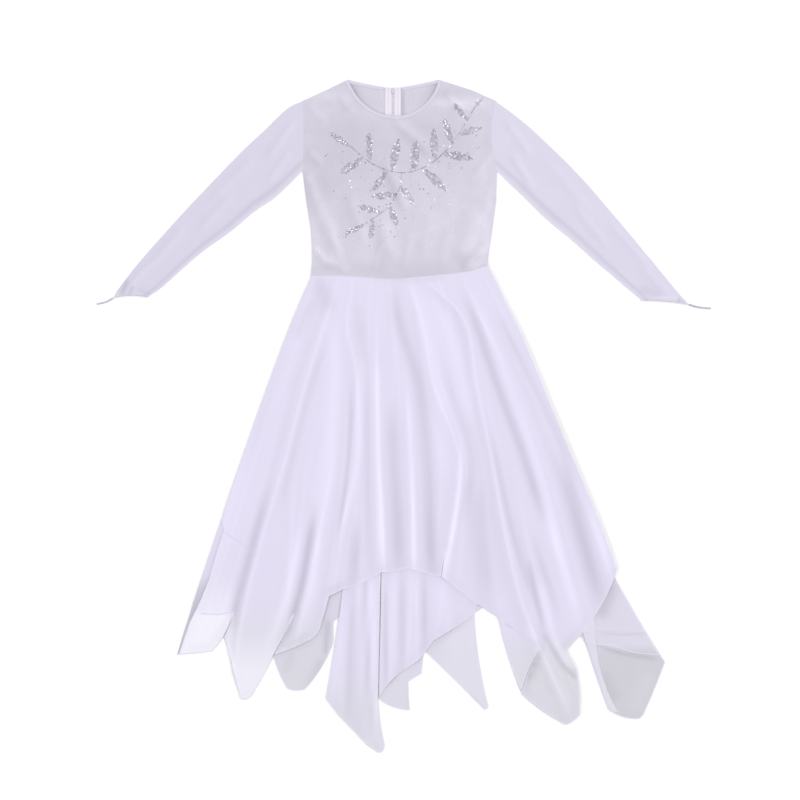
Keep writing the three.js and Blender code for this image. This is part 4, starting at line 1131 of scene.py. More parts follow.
def thread_look(name, colour, turns=900.0, depth=0.0001, sheen=0.2):
    """Thread wound or sewn along a run: bands across its path as shade and as bump."""
    look, wire, shader = new_look(name)
    uv = wire.node("ShaderNodeUVMap", uv_map="Path")
    axes = wire.node("ShaderNodeSeparateXYZ")
    wire.put(axes.inputs[0], uv.outputs[0])
    slant = wire.math("ADD", wire.math("MULTIPLY", axes.outputs["X"], turns * 2 * math.pi), axes.outputs["Y"])
    band = wire.spread(wire.math("SINE", slant), -1.0, 1.0, 0.0, 1.0)
    wire.put(shader.inputs["Base Color"], wire.mix(band, scaled(colour, 0.9), scaled(colour, 1.04)))
    wire.put(shader.inputs["Normal"], wire.bump(band, depth))
    wire.put(shader.inputs["Roughness"], wire.spread(band, 0.0, 1.0, 0.85, 0.7))
    shader.inputs["Sheen Weight"].default_value = sheen
    shader.inputs["Specular IOR Level"].default_value = 0.3
    return look


def hard_look(name, colour, metallic, rough, grain=0.08):
    """Metal, foil or nylon: fine noise over its colour and its roughness."""
    look, wire, shader = new_look(name)
    where = wire.node("ShaderNodeTexCoord").outputs["Object"]
    mottle = wire.group("uneven_tone", Vector=where, Broad=120.0, Fine=900.0)
    wire.put(
        shader.inputs["Base Color"],
        wire.mix(mottle.outputs[0], scaled(colour, 1 - grain), scaled(colour, 1.0))
    )
    wire.put(shader.inputs["Roughness"], wire.spread(mottle.outputs[0], 0.0, 1.0, rough * 0.8, rough * 1.3))
    shader.inputs["Metallic"].default_value = metallic
    return look


def stone_look(name, colour):
    """Foiled glass stones: each has a painted brightness of its own, from a painted glint on a bright facet
    to a dark one.
    """
    look, wire, shader = new_look(name)
    tone = wire.node("ShaderNodeAttribute", attribute_name="tone").outputs["Fac"]
    share = wire.spread(tone, -1.0, 1.0, 0.0, 1.0)
    wire.put(shader.inputs["Base Color"], wire.mix(share, scaled(colour, 0.08), scaled(colour, 1.6)))
    wire.put(shader.inputs["Roughness"], wire.spread(tone, -1.0, 1.0, 0.3, 0.12))
    shader.inputs["Metallic"].default_value = 0.85
    shader.inputs["Coat Weight"].default_value = 0.6
    shader.inputs["Coat Roughness"].default_value = 0.05
    return look


# Settings
def colour(name, description, default):
    return FloatVectorProperty(
        name=name, description=description, default=default, size=3, min=0, max=1, subtype="COLOR"
    )


def size(name, description, default):
    return FloatProperty(name=name, description=description, default=default, min=0.1, max=50)


class DressCloth(bpy.types.PropertyGroup):
    """Thicknesses and widths, in millimetres."""

    chiffon: size("Chiffon", "Thickness of the chiffon, in millimetres", 0.4)
    knit: size("Knit", "Thickness of the bodice's stretch knit, in millimetres", 0.7)
    mesh: size("Mesh", "Thickness of the sleeves' mesh, in millimetres", 0.45)
    binding: size("Neck binding", "Width of the neck binding, in millimetres", 6.0)
    hem: size("Rolled hem", "Width of the chiffon's rolled hem, in millimetres", 2.0)
    stone: size("Stone", "Width of a stone on the chest, in millimetres", 2.3)


class DressColours(bpy.types.PropertyGroup):
    """Colours of the cloth and the trim."""

    knit: colour("Knit", "Bodice", (0.66, 0.63, 0.73))
    mesh: colour("Mesh", "Sleeves", (0.67, 0.64, 0.77))
    chiffon: colour("Chiffon", "Front layers of the skirt", (0.74, 0.7, 0.86))
    inside: colour("Chiffon inside", "Back layers of the skirt, seen from inside", (0.7, 0.67, 0.79))
    single: colour("Single chiffon", "Points of the skirt, where few layers lie", (0.7, 0.69, 0.76))
    binding: colour("Binding", "Neck binding and seams", (0.68, 0.65, 0.76))
    hem: colour("Hem", "Rolled hem of the chiffon", (0.8, 0.77, 0.88))
    tape: colour("Zip tape", "Woven tapes of the zip", (0.76, 0.72, 0.8))
    coil: colour("Zip coil", "Nylon coil of the zip", (0.8, 0.79, 0.84))
    slider: colour("Slider", "Painted slider of the zip", (0.62, 0.6, 0.68))
    elastic: colour("Elastic", "Finger loops", (0.48, 0.45, 0.56))
    stones: colour("Stones", "Foiled stones", (0.62, 0.62, 0.66))
    floor: colour("Floor", "Surface that the dress lies on", (0.96, 0.96, 0.97))


LOOKS = {}


def make_looks(colours):
    """Every material, from the panel's colours."""
    woven_group()
    mottle_group()
    crumple_group()
    LOOKS["knit"] = cloth_look(
        "bodice_knit", colours.knit, (5200.0, 4200.0), bump=0.00008, wrinkle=0.0014, sheen=0.4, uneven=0.3,
        broad=34.0
    )
    LOOKS["mesh"] = cloth_look(
        "sleeve_mesh", colours.mesh, (4200.0, 4200.0), wrinkle=0.0009, uneven=0.12, broad=24.0
    )
    threads = (7000.0, 7000.0)
    LOOKS["chiffon"] = cloth_look(
        "skirt_chiffon", colours.chiffon, threads, wrinkle=0.0009, thin=colours.single
    )
    LOOKS["inside"] = cloth_look(
        "chiffon_inside", colours.inside, threads, wrinkle=0.0009, thin=colours.single
    )
    LOOKS["binding"] = thread_look("neck_binding", colours.binding, turns=700.0, depth=0.00006)
    LOOKS["hem"] = thread_look("rolled_hem", colours.hem, turns=900.0)
    LOOKS["seam"] = thread_look("sewn_seam", colours.binding, turns=450.0, depth=0.00012)
    LOOKS["tape"] = cloth_look("zip_tape", colours.tape, (9000.0, 4200.0), bump=0.00012, wrinkle=0.0003)
    LOOKS["coil"] = hard_look("zip_coil_nylon", colours.coil, 0.0, 0.4)
    LOOKS["slider"] = hard_look("slider_paint", colours.slider, 0.3, 0.45)
    LOOKS["elastic"] = thread_look("elastic_cord", colours.elastic, turns=1100.0, depth=0.00012)
    LOOKS["stones"] = stone_look("foiled_stones", colours.stones)


# Bodice
def square_grid(left, right, low, high, step):
    """Points in rows from the top down, one step apart."""
    x = np.linspace(left, right, round((right - left) / step) + 1)
    y = np.linspace(high, low, round((high - low) / step) + 1)
    return np.stack(np.meshgrid(x, y), axis=-1)


ZIP_X = -14.0
ZIP_GAP = 0.15
HALF_MIDDLE_Y = 180.0

# Left, right, low and high ends of the bodice's grids, and their steps
BODICE_REACH = (-200, 200, -20, 392)
BACK_STEP = 4.2
FRONT_STEP = 3.6


def half_outline(outline, side):
    """One half of an outline, cut straight down at the zip, with its points in order round the half's
    middle."""
    cut = ZIP_X + side * ZIP_GAP
    kept = outline[(outline[:, 0] - cut) * side > 0.4]
    crossing = []
    ends = np.roll(outline, -1, axis=0)
    for start, end in zip(outline, ends, strict=True):
        if (start[0] - cut) * (end[0] - cut) < 0:
            share = (cut - start[0]) / (end[0] - start[0])
            crossing.append((cut, start[1] + share * (end[1] - start[1])))
    low, high = sorted(crossing, key=lambda p: p[1])
    order = np.arctan2(kept[:, 1] - HALF_MIDDLE_Y, kept[:, 0] - cut)
    middle = np.array([[cut, HALF_MIDDLE_Y]])
    if side > 0:
        kept = kept[np.argsort(order)]
        return np.concatenate([[low], kept, [high], middle])
    kept = kept[np.argsort(np.mod(order, 2 * np.pi))]
    return np.concatenate([[high], kept, [low], middle])


# Patches of painted sheen and painted shade on the knit: centre, reach along and up, tone
KNIT_SHEEN_AND_SHADE = table(
    "x y wide high tone",
    (-100, 250, 80, 80, -0.6),
    (-160, 172, 26, 40, -0.6),
    (86, 262, 62, 50, -0.6),
    (40, 292, 22, 16, -0.4),
    (-8, 178, 18, 50, -0.35),
    (-168, 70, 20, 74, 0.7),
    (-140, 40, 22, 50, 0.35),
    (-66, 62, 26, 60, 0.45),
    (-20, 84, 12, 60, 0.35),
    (96, 92, 84, 70, 0.45),
    (172, 150, 14, 120, 0.6),
    (150, 60, 26, 46, 0.4),
    (122, 338, 62, 9, 1.1),
    (96, 358, 30, 10, -0.5),
    (-150, 353, 50, 13, 0.6),
    (-160, 318, 26, 16, 0.35),
    (-66, 316, 34, 12, 0.4),
    (-16, 296, 20, 10, 0.4),
    (52, 4, 66, 22, -0.6),
    (-64, 8, 46, 14, -0.5),
    (-150, 8, 34, 8, -0.6),
    (150, 30, 30, 8, -0.5),
    (-110, 120, 14, 50, -0.3),
    (-40, 40, 8, 50, -0.35),
    (152, 240, 10, 60, 0.25),
    (176, 262, 8, 60, -0.3),
)


def bodice_tone(x, y):
    """Painted light and shade on the bodice: the patches of painted sheen and shade, painted shade along the
    waist seam, the right side painted a little lighter than the left, and a painted light and a painted dark
    side to each crease.
    """
    total = 0.06 * np.clip(x / 190, -1, 1) - 0.2 * np.exp(
        -(((y - np.interp(x, WAIST["x"], WAIST["y"])) / 9) ** 2)
    )
    for px, py, wide, high, tone in zip(*KNIT_SHEEN_AND_SHADE.values(), strict=True):
        total = total + tone * np.exp(-(((x - px) / wide) ** 2) - ((y - py) / high) ** 2)
    step = 4.0
    rise = ridges(CREASES, x + step, y) + 1.5 * ridges(FINE_CREASES, x + step, y)
    fall = ridges(CREASES, x - step, y) + 1.5 * ridges(FINE_CREASES, x - step, y)
    return held(total - 0.45 * (rise - fall))


def inside_tone(x, y):
    """Back of the bodice: in shade next to the front's neckline, most at its ends, and beside the zip's
    right tape."""
    shade = 2.6 * np.exp(-distance_to(NECK_LINE, x, y) / 9) * smoothstep(y, 318, 376)
    tape_shade = 1.8 * np.exp(-(((x - 5) / 4) ** 2)) * (1 - smoothstep(y, 350, 376))
    return held(0.15 - shade - tape_shade)


class DRESS_OT_bodice(bpy.types.Operator):
    """Lays the bodice front on the two halves of the bodice back"""

    bl_idname = "dress.bodice"
    bl_label = "Bodice"

    def execute(self, context):
        thick = context.scene.dress_cloth.knit
        whole = bodice_outline(BACK_NECK_LINE)
        for name, side in (("left", -1), ("right", 1)):
            piece, flat, area = cloth(
                f"bodice_back_{name}_cloth",
                half_outline(whole, side),
                square_grid(*BODICE_REACH, BACK_STEP),
                back_middle,
                thick,
                LOOKS["knit"],
                f"bodice_back_{name}",
                inside_tone,
            )
        piece, flat, area = cloth(
            "bodice_front_cloth",
            bodice_outline(NECK_LINE),
            square_grid(*BODICE_REACH, FRONT_STEP),
            bodice_middle,
            thick,
            LOOKS["knit"],
            "bodice_front",
            bodice_tone,
        )
        return {"FINISHED"}


BINDING_SECTION = np.array(
    [
        (-0.5, 0.9),
        (-0.6, 1.3),
        (-0.2, 1.75),
        (0.8, 2.05),
        (2.2, 2.15),
        (3.8, 2.05),
        (4.7, 1.8),
        (5.0, 1.7),
        (5.3, 1.78),
        (5.9, 1.6),
        (6.1, 1.3),
        (6.1, 1.0),
        (3.0, 0.8),
        (0.2, 0.6),
    ]
)


def run_on(line, height):
    """A flat run lifted to height(x, y)."""
    return np.column_stack([line, height(line[:, 0], line[:, 1])])


class DRESS_OT_neck(bpy.types.Operator):
    """Binds the neckline and stitches the binding down"""

    bl_idname = "dress.neck"
    bl_label = "Neck binding"

    def execute(self, context):
        width = context.scene.dress_cloth.binding
        section = BINDING_SECTION * [width / 6.0, 1.0]
        front = run_on(NECK_LINE, bodice_height)
        run_piece("neck_binding_front", carried(front, section), "binding", "neck_band_front")
        right = sideways(front)
        sewn = front + np.column_stack([right * 5.0 * width / 6.0, np.full(len(front), 1.75)])
        made = [stitches(sewn)]
        flat_section = section * [1.0, 0.6] + [0, 0.6]
        for name, keep in (
            ("left", BACK_NECK_LINE[:, 0] < ZIP_X - 16),
            ("right", BACK_NECK_LINE[:, 0] > ZIP_X + 16),
        ):
            line = run_on(BACK_NECK_LINE[keep], lambda x, y: np.zeros(x.shape))
            band = carried(line, flat_section)
            run_piece(f"neck_binding_back_{name}", band, "binding", f"neck_band_back_{name}")
            right = sideways(line)
            made.append(stitches(line + np.column_stack([right * 5.0, np.full(len(line), 1.66)])))
        run_piece("neck_stitches", joined([pathless(*row) for row in made]), "hem")
        return {"FINISHED"}


# Zip
COIL_LEVEL = 2.35
COIL_PITCH = 1.25
TAPE_LEVEL = 1.52
TAPE_HALF_WALL = 0.22
TAPE_NEAR = 0.5
TAPE_FAR = 15.8
ZIP_TOP = 367.0
ZIP_BOTTOM = 22.0
SLIDER_LENGTH = 11.0


def tape(side):
    """A zip tape: z = its level, a raised top end, and slow waves across and along."""
    u = np.linspace(TAPE_NEAR, TAPE_FAR, 22)
    v = np.linspace(ZIP_TOP + 0.5, ZIP_BOTTOM, 150)
    across, along = np.meshgrid(u, v)
    wave = 0.22 * np.sin(across * 1.35) * np.exp(-((along - 352) / 26.0) ** 2)
    lift = 0.5 * np.exp(-((along - ZIP_TOP) / 6.0) ** 2) + 0.12 * np.sin(along * 0.21 + side)
    z = TAPE_LEVEL + wave + lift
    x = ZIP_X + side * across
    top = np.stack([x, along, z + TAPE_HALF_WALL], axis=-1)
    under = np.stack([x, along, z - TAPE_HALF_WALL], axis=-1)
    return shell(top, under, side < 0)


def shell(top, under, turned):
    """Closes two grids of the same size into one wall, with faces that point outwards."""
    rows, columns = top.shape[:2]
    points = np.concatenate([top.reshape(-1, 3), under.reshape(-1, 3)])
    index = np.arange(rows * columns).reshape(rows, columns)
    low = index + rows * columns
    a, b, c, d = index[:-1, :-1], index[1:, :-1], index[1:, 1:], index[:-1, 1:]
    faces = [np.stack([a, b, c, d], -1).reshape(-1, 4)]
    a, b, c, d = low[:-1, :-1], low[:-1, 1:], low[1:, 1:], low[1:, :-1]
    faces.append(np.stack([a, b, c, d], -1).reshape(-1, 4))
    for high, deep in (
        (index[0][::-1], low[0][::-1]),
        (index[:, -1][::-1], low[:, -1][::-1]),
        (index[-1], low[-1]),
        (index[:, 0], low[:, 0]),
    ):
        faces.append(np.stack([high[:-1], deep[:-1], deep[1:], high[1:]], -1))
    every = np.concatenate(faces)
    return points, (every[:, ::-1] if turned else every).tolist()


def tooth_shape():
    """One turn of the coil: a flat oval ring of thread that crosses the middle, six sides round."""
    count, sides = 10, 6
    angle = np.linspace(0, 2 * np.pi, count, endpoint=False)
    centre = np.stack([2.3 * np.cos(angle), 0.26 * np.sin(angle), 0.42 * np.sin(angle)], -1)
    out = np.stack([np.cos(angle), np.zeros(count), 0.55 * np.sin(angle)], -1)
    out /= np.linalg.norm(out, axis=1, keepdims=True)
    turn = np.linspace(0, 2 * np.pi, sides, endpoint=False)
    ahead = np.array([0.0, 1.0, 0.0])
    ring = 0.3 * (np.cos(turn)[None, :, None] * out[:, None] + np.sin(turn)[None, :, None] * ahead)
    index = np.arange(count * sides).reshape(count, sides)
    after = np.roll(index, -1, axis=0)
    faces = np.stack([index, np.roll(index, -1, 1), np.roll(after, -1, 1), after], -1).reshape(-1, 4)
    return (centre[:, None] + ring).reshape(-1, 3), faces.tolist()


def rounded_plate(outline, low, high, edge):
    """A plate with a rounded rim: the outline, shrunk by edge at its top and bottom."""
    middle = outline.mean(axis=0)
    reach = np.linalg.norm(outline - middle, axis=1, keepdims=True)
    rings = [
        (low, 1 - edge / reach),
        (low + edge * 0.6, np.ones_like(reach)),
        (high - edge * 0.6, np.ones_like(reach)),
        (high, 1 - edge / reach),
    ]
    points = np.concatenate(
        [
            np.column_stack([middle + (outline - middle) * share, np.full(len(outline), z)])
            for z, share in rings
        ]
    )
    count = len(outline)
    index = np.arange(4 * count).reshape(4, count)
    return points, ring_faces(index)


class DRESS_OT_zip(bpy.types.Operator):
    """Lays the zip inside the back: two tapes, the coil and the slider"""

    bl_idname = "dress.zip"
    bl_label = "Zip"

    def execute(self, context):
        for name, side in (("left", -1), ("right", 1)):
            points, faces = tape(side)
            streak = 0.35 * np.cos((points[:, 0] - ZIP_X) * 0.9 + side) + 0.5
            new_piece(
                f"zip_tape_{name}_woven", points, faces, LOOKS["tape"], f"zip_tape_{name}",
                tone=streak
            )
        at = np.arange(ZIP_BOTTOM + 1, ZIP_TOP - SLIDER_LENGTH - 0.5, COIL_PITCH)
        places = np.column_stack([np.full(len(at), ZIP_X), at, np.full(len(at), COIL_LEVEL)])
        shape, faces = tooth_shape()
        slant = np.where(np.arange(len(at)) % 2, 0.05, -0.05)
        points, all_faces = repeated(shape, faces, places, slant, np.ones(len(at)))
        new_piece("zip_coil_teeth", points, all_faces, LOOKS["coil"], "zip_coil")
        low = ZIP_TOP - SLIDER_LENGTH + 0.4
        outline = np.array(
            [
                (-2.0, low),
                (2.0, low),
                (2.6, low + 1.4),
                (3.3, ZIP_TOP - 4.4),
                (3.4, ZIP_TOP - 2.6),
                (2.6, ZIP_TOP - 1.4),
                (0.8, ZIP_TOP - 1.0),
                (-0.8, ZIP_TOP - 1.0),
                (-2.6, ZIP_TOP - 1.4),
                (-3.4, ZIP_TOP - 2.6),
                (-3.3, ZIP_TOP - 4.4),
                (-2.6, low + 1.4),
            ]
        ) + [ZIP_X, 0]
        middle = outline.mean(axis=0)
        plates = [
            rounded_plate(outline, 1.35, 2.0, 0.25),
            rounded_plate(outline, 2.95, 3.65, 0.3),
            rounded_plate(middle + (outline - middle) * [0.28, 0.3] + [0, 2.2], 1.9, 3.05, 0.1),
        ]
        points, faces, _ = joined([pathless(*plate) for plate in plates])
        new_piece("zip_slider_body", points, faces, LOOKS["slider"], "zip_slider")
        return {"FINISHED"}


# Sleeves
SLEEVE_ROWS = 190
SLEEVE_ROUND = 104
EDGE_HEIGHT = 1.15
SEAM_SHARE = 0.93
CUFF_HEM = 0.36


def sleeve_surface(rows, out):
    """The sleeve's wall moved outwards by out: round it, t = (1 - cos q) / 2, the upper half at the CAD's
    height and the lower half flat, and both closing to a rounded edge."""
    last = len(rows["bow"]) - 1
    s = np.linspace(0, last, SLEEVE_ROWS)[:, None] + np.zeros(SLEEVE_ROUND)
    q = (np.linspace(0, 2 * np.pi, SLEEVE_ROUND, endpoint=False))[None] + np.zeros((SLEEVE_ROWS, 1))
    t = (1 - np.cos(q)) / 2
    p, _ = sleeve_points(rows, s, t)
    upper = sleeve_height(rows, s, t) + HALF_WALL
    seam = 0.5 * np.exp(-(((t - SEAM_SHARE) / 0.02) ** 2)) * smoothstep(s, 0, 0.5)
    hem = 0.35 * smoothstep(s, last - 0.42, last - CUFF_HEM)
    closing = np.abs(np.sin(q)) ** 0.35
    top = EDGE_HEIGHT + (upper + seam + hem - EDGE_HEIGHT + out) * closing
    low = EDGE_HEIGHT - (EDGE_HEIGHT - HALF_WALL + out) * closing
    z = np.where(np.sin(q) >= 0, top, low)
    outer = np.stack([rows_edge(rows, s, 0), rows_edge(rows, s, 1)], 0)
    way = outer[1] - outer[0]
    way /= np.linalg.norm(way, axis=-1, keepdims=True)
    edge_out = (-np.cos(q) * out * (1 - closing * 0.999))[..., None] * way
    tuck = 0.35 * (1 - closing)
    inward = (np.cos(q) * tuck)[..., None] * way
    return np.concatenate([p + edge_out + inward, z[..., None]], axis=-1)


def sleeve_tone(points):
    """A sleeve's tone, which is painted light and shade: painted shade along its seam with a painted light
    strip outside it, a painted light and a painted dark side to each crease, the right sleeve painted a
    little lighter than the left, and streaks of painted shade and light where the cuff is drawn in."""
    x, y = points[..., 0], points[..., 1]
    t = (1 - np.cos(np.linspace(0, 2 * np.pi, SLEEVE_ROUND, endpoint=False))) / 2
    seam = 0.6 * smoothstep(t, 0.93, 0.99) - 0.8 * np.exp(-(((t - 0.87) / 0.045) ** 2))
    rise = ridges(SLEEVE_CREASES, x + 4, y) - ridges(SLEEVE_CREASES, x - 4, y)
    return held(0.1 + 0.12 * np.sign(x) + seam - 0.6 * rise + ridges(CUFF_LIGHT_AND_SHADE, x, y))


def rows_edge(rows, s, t):
    """A place on the outer edge (t 0) or the inner edge (t 1) of a sleeve."""
    return sleeve_points(rows, s, np.full(s.shape, float(t)))[0]


def tube_shell(outer, inner, turned):
    """Two tubes of the same size, one in the other, joined at both ends."""
    rows, columns = outer.shape[:2]
    index = np.arange(rows * columns).reshape(rows, columns)
    low = index + rows * columns
    near, after = index[:-1], index[1:]
    skin = np.stack([near, after, np.roll(after, -1, 1), np.roll(near, -1, 1)], -1).reshape(-1, 4)
    near, after = low[:-1], low[1:]
    lining = np.stack([near, np.roll(near, -1, 1), np.roll(after, -1, 1), after], -1).reshape(-1, 4)
    start = np.stack([index[0], np.roll(index[0], -1), np.roll(low[0], -1), low[0]], -1)
    end = np.stack([index[-1], low[-1], np.roll(low[-1], -1), np.roll(index[-1], -1)], -1)
    faces = np.concatenate([skin, lining, start, end])
    points = np.concatenate([outer.reshape(-1, 3), inner.reshape(-1, 3)])
    return points, (faces[:, ::-1] if turned else faces).tolist()


# The elastic's points, the radius of its turn, and its level where it lies on the surface
LOOP_STEP = 1.0
LOOP_BEND = 1.0
LOOP_LEVEL = 0.62


def loop_piece(side):
    """A finger loop: elastic that runs out to its end, turns round and comes back beside itself."""
    rows = LOOPS[side]
    out = smooth_run(rows, LOOP_STEP)
    right = sideways(out)
    end, way = out[-1], np.array([-right[-1][1], right[-1][0]])
    turn = np.linspace(-80, 80, 9)
    angle = math.atan2(way[1], way[0]) - np.radians(turn)
    bend = end + LOOP_BEND * np.stack([np.cos(angle), np.sin(angle)], axis=-1)
    flat = np.concatenate([out - right * LOOP_BEND, bend, (out + right * LOOP_BEND)[::-1]])
    reach = np.linalg.norm(end - out[0])
    height = LOOP_LEVEL + (BODICE_LEVEL - LOOP_LEVEL) * smoothstep(
        np.linalg.norm(flat - end, axis=1) / reach, 0.5, 1
    )
    return carried(np.column_stack([flat, height]), oval(0.6, 0.55))


class DRESS_OT_sleeves(bpy.types.Operator):
    """Sets the two sleeves, with their cuff hems and finger loops"""

    bl_idname = "dress.sleeves"
    bl_label = "Sleeves"

    def add_cuff(self, side):
        """Stitches the cuff's hem, and sews a bound patch where the finger loop is set on."""
        rows = SLEEVES[side]
        last = len(rows["bow"]) - 1
        t = np.linspace(0.05, 0.95, 60)
        s = np.full(t.shape, last - CUFF_HEM)
        line = np.column_stack([sleeve_points(rows, s, t)[0], sleeve_height(rows, s, t) + 1.12])
        sewn = stitches(line)
        s = np.linspace(last - 0.75, last - 0.02, 16)
        t = np.full(s.shape, 0.07)
        edge = np.column_stack([sleeve_points(rows, s, t)[0], sleeve_height(rows, s, t) + 0.95])
        made = joined([pathless(*sewn), carried(edge, oval(2.6, 0.55, 12))])
        run_piece(f"cuff_{side}_binding", made, "binding")

    def execute(self, context):
        thick = context.scene.dress_cloth.mesh
        for side in ("left", "right"):
            rows = SLEEVES[side]
            outer = sleeve_surface(rows, thick / 2)
            inner = sleeve_surface(rows, -thick / 2)
            points, faces = tube_shell(outer, inner, side == "right")
            tone = np.tile(sleeve_tone(outer).ravel(), 2)
            piece = new_piece(
                f"sleeve_{side}_mesh", points, faces, LOOKS["mesh"], f"sleeve_{side}",
                tone=tone
            )
            self.add_cuff(side)
            run_piece(
                f"finger_loop_{side}_elastic", loop_piece(side), "elastic", f"finger_loop_{side}"
            )
        return {"FINISHED"}


# Skirt
SKIRT_TOP = 20.0
SKIRT_END = -966.0
BETWEEN_CRESTS = 14

# The layers beneath are covered down to here, and their rows are further apart above it than below it
COVERED_TO = -560
FRONT_ROW = 6.0
COVERED_FRONT_ROW = 20.0
BACK_ROW = 5.0
COVERED_BACK_ROW = 18


def fold_grid(rows_y):
    """Columns that follow the crests from the waist down, close together at each crest."""
    crests = [LEFT_MARGIN, *zip(*(FOLDS[f"x{k}"] for k in range(7))), RIGHT_MARGIN]
    lines = [through(FOLD_LEVELS, crest, rows_y) for crest in crests]
    split = (1 - np.cos(np.linspace(0, np.pi, BETWEEN_CRESTS, endpoint=False))) / 2
    columns = [a[:, None] + (b - a)[:, None] * split for a, b in zip(lines[:-1], lines[1:], strict=True)]
    x = np.concatenate([*columns, lines[-1][:, None]], axis=1)
    return np.stack([x, np.repeat(rows_y[:, None], x.shape[1], axis=1)], axis=-1)


def layer_grid(fine_from, coarse, fine):
    """Rows and columns for a layer that shows only below fine_from."""
    rows_y = np.concatenate(
        [np.arange(SKIRT_TOP, fine_from, -coarse), np.arange(fine_from, SKIRT_END, -fine)]
    )
    x = np.arange(-520, 580, fine * 1.2)
    return np.stack(np.meshgrid(x, rows_y), axis=-1)


def fold_tone(rows, fade, x, y):
    """Light that gathers on folds: a bright line on each crest, and a dark hollow on each side of it, darker
    on the side where the slope is shorter."""
    total = np.zeros(x.shape)
    for *crest, start, end, lift, left, right in zip(*rows.values(), strict=True):
        off = x - through(FOLD_LEVELS, crest, y)
        ends = fold_ends(start, end, fade, y)
        wide, side = np.where(off < 0, left, right), np.where(off < 0, 1.0, min(1.0, 12 / right) * 0.6)
        hollow = side * np.exp(-(((np.abs(off) - 1.2 * wide) / (0.75 * wide)) ** 2))
        total += lift * ends * (np.exp(-((off / 4.5) ** 2)) - 0.6 * hollow)
    return total


def front_tone(x, y):
    """Outer front layer: its bands and streaks of painted light and painted shade, painted highlights on the
    crests, painted shade beside edges, and light at the left points."""
    light = 0.05 * fold_tone(FOLDS, FOLD_FADE, x, y) + 0.1 * fold_tone(FINE_FOLDS, FOLD_FADE, x, y)
    light += 0.1 * fold_tone(WAIST_FOLDS, WAIST_FADE, x, y) + 0.9 * turned(x, y)[1]
    light += bands(BANDS, x, y) * (0.95 + 0.5 * smoothstep(-y, 350, 560)) + ridges(FRONT_LIGHT_AND_SHADE, x, y)
    points = smoothstep(-y, 700, 810) * smoothstep(-x, 200, 260) * (1 - smoothstep(-x, 326, 342))
    points += 0.75 * smoothstep(-y, 580, 700) * smoothstep(-x, 326, 342)
    right_point = smoothstep(-y, 760, 800) * smoothstep(x, 230, 250)
    return held(light + 1.4 * points + 0.6 * left_point(x, y) - 0.15 * right_point)


def left_point(x, y):
    """1 on the leftmost point, below the hem that shows through it."""
    return smoothstep(-y, 680, 687) * smoothstep(-x, 326, 342)


def front_thin(x, y):
    """Where the outer front layer lies nearly alone: from low on its left side and at its right point."""
    left = smoothstep(-y, 600, 810) * smoothstep(-x, 60, 240)
    right = smoothstep(-y, 690, 800) * smoothstep(x, 160, 240)
    leftmost = 0.45 * smoothstep(-y, 540, 660) * smoothstep(-x, 326, 342)
    return np.maximum(np.maximum(left, right), leftmost + 0.5 * left_point(x, y))


def under_tone(x, y):
    """Front layer beneath: as the outer one, with its own folds and bands, in shade next to the outer one's
    hem and where it shows beside the leftmost point."""
    light = 0.03 * fold_tone(FOLDS, FOLD_FADE, x, y) + 0.08 * fold_tone(UNDER_FOLDS, UNDER_FADE, x, y)
    light += bands(UNDER_BANDS, x, y)
    shade = 0.6 * np.exp(-distance_to(OUTER_HEM_LINE, x, y) / 9)
    strip = 1.3 * smoothstep(-y, 590, 650) * smoothstep(-x, 372, 386)
    return held(light - shade - strip - 0.1 * smoothstep(-y, 600, 800))


def under_thin(x, y):
    """Where the front layer beneath lies nearly alone: at its long point and at its sides."""
    return np.maximum(
        0.7 * smoothstep(-y, 740, 920), smoothstep(-y, 600, 700) * smoothstep(np.abs(x), 120, 260)
    )


def back_tone(x, y):
    """Back layers: the middle points are light, the right one is in painted shade, and so is the cloth next
    to other hems; the left side is darker, with painted shade beside the leftmost point, and streaks of
    painted shade and light lie over them."""
    middle = 0.3 * smoothstep(x, 60, 110) * (1 - smoothstep(x, 180, 200))
    right = 0.95 * smoothstep(x, 372, 400) * smoothstep(-y, 744, 764)
    shade = np.exp(-distance_to(OUTER_HEM_LINE, x, y) / 8) + 0.7 * np.exp(
        -distance_to(UNDER_HEM_LINE, x, y) / 6
    )
    left = 0.3 * smoothstep(-x, 120, 150) + 0.9 * smoothstep(-y, 600, 640) * smoothstep(-x, 380, 390)
    return held(middle - right - 0.6 * shade - left + ridges(BACK_LIGHT_AND_SHADE, x, y))


def back_thin(x, y):
    """Back layers: single at every point but the ones in the middle, and lined at the top of the right
    one."""
    single = smoothstep(-y, 650, 800) * (1 - 0.6 * (1 - smoothstep(np.abs(x - 60), 90, 150)))
    return single * (1 - 0.7 * smoothstep(x, 370, 390) * (1 - smoothstep(-y, 742, 764)))


HEMS = {
    "skirt_front_outer": (FRONT_OUTER_HEM, front_outer_height),
    "skirt_front_under": (FRONT_UNDER_HEM, front_under_height),
    "skirt_back_under": (BACK_UNDER_HEM, back_under_height),
    "skirt_back_outer": (BACK_OUTER_HEM, back_outer_height),
}


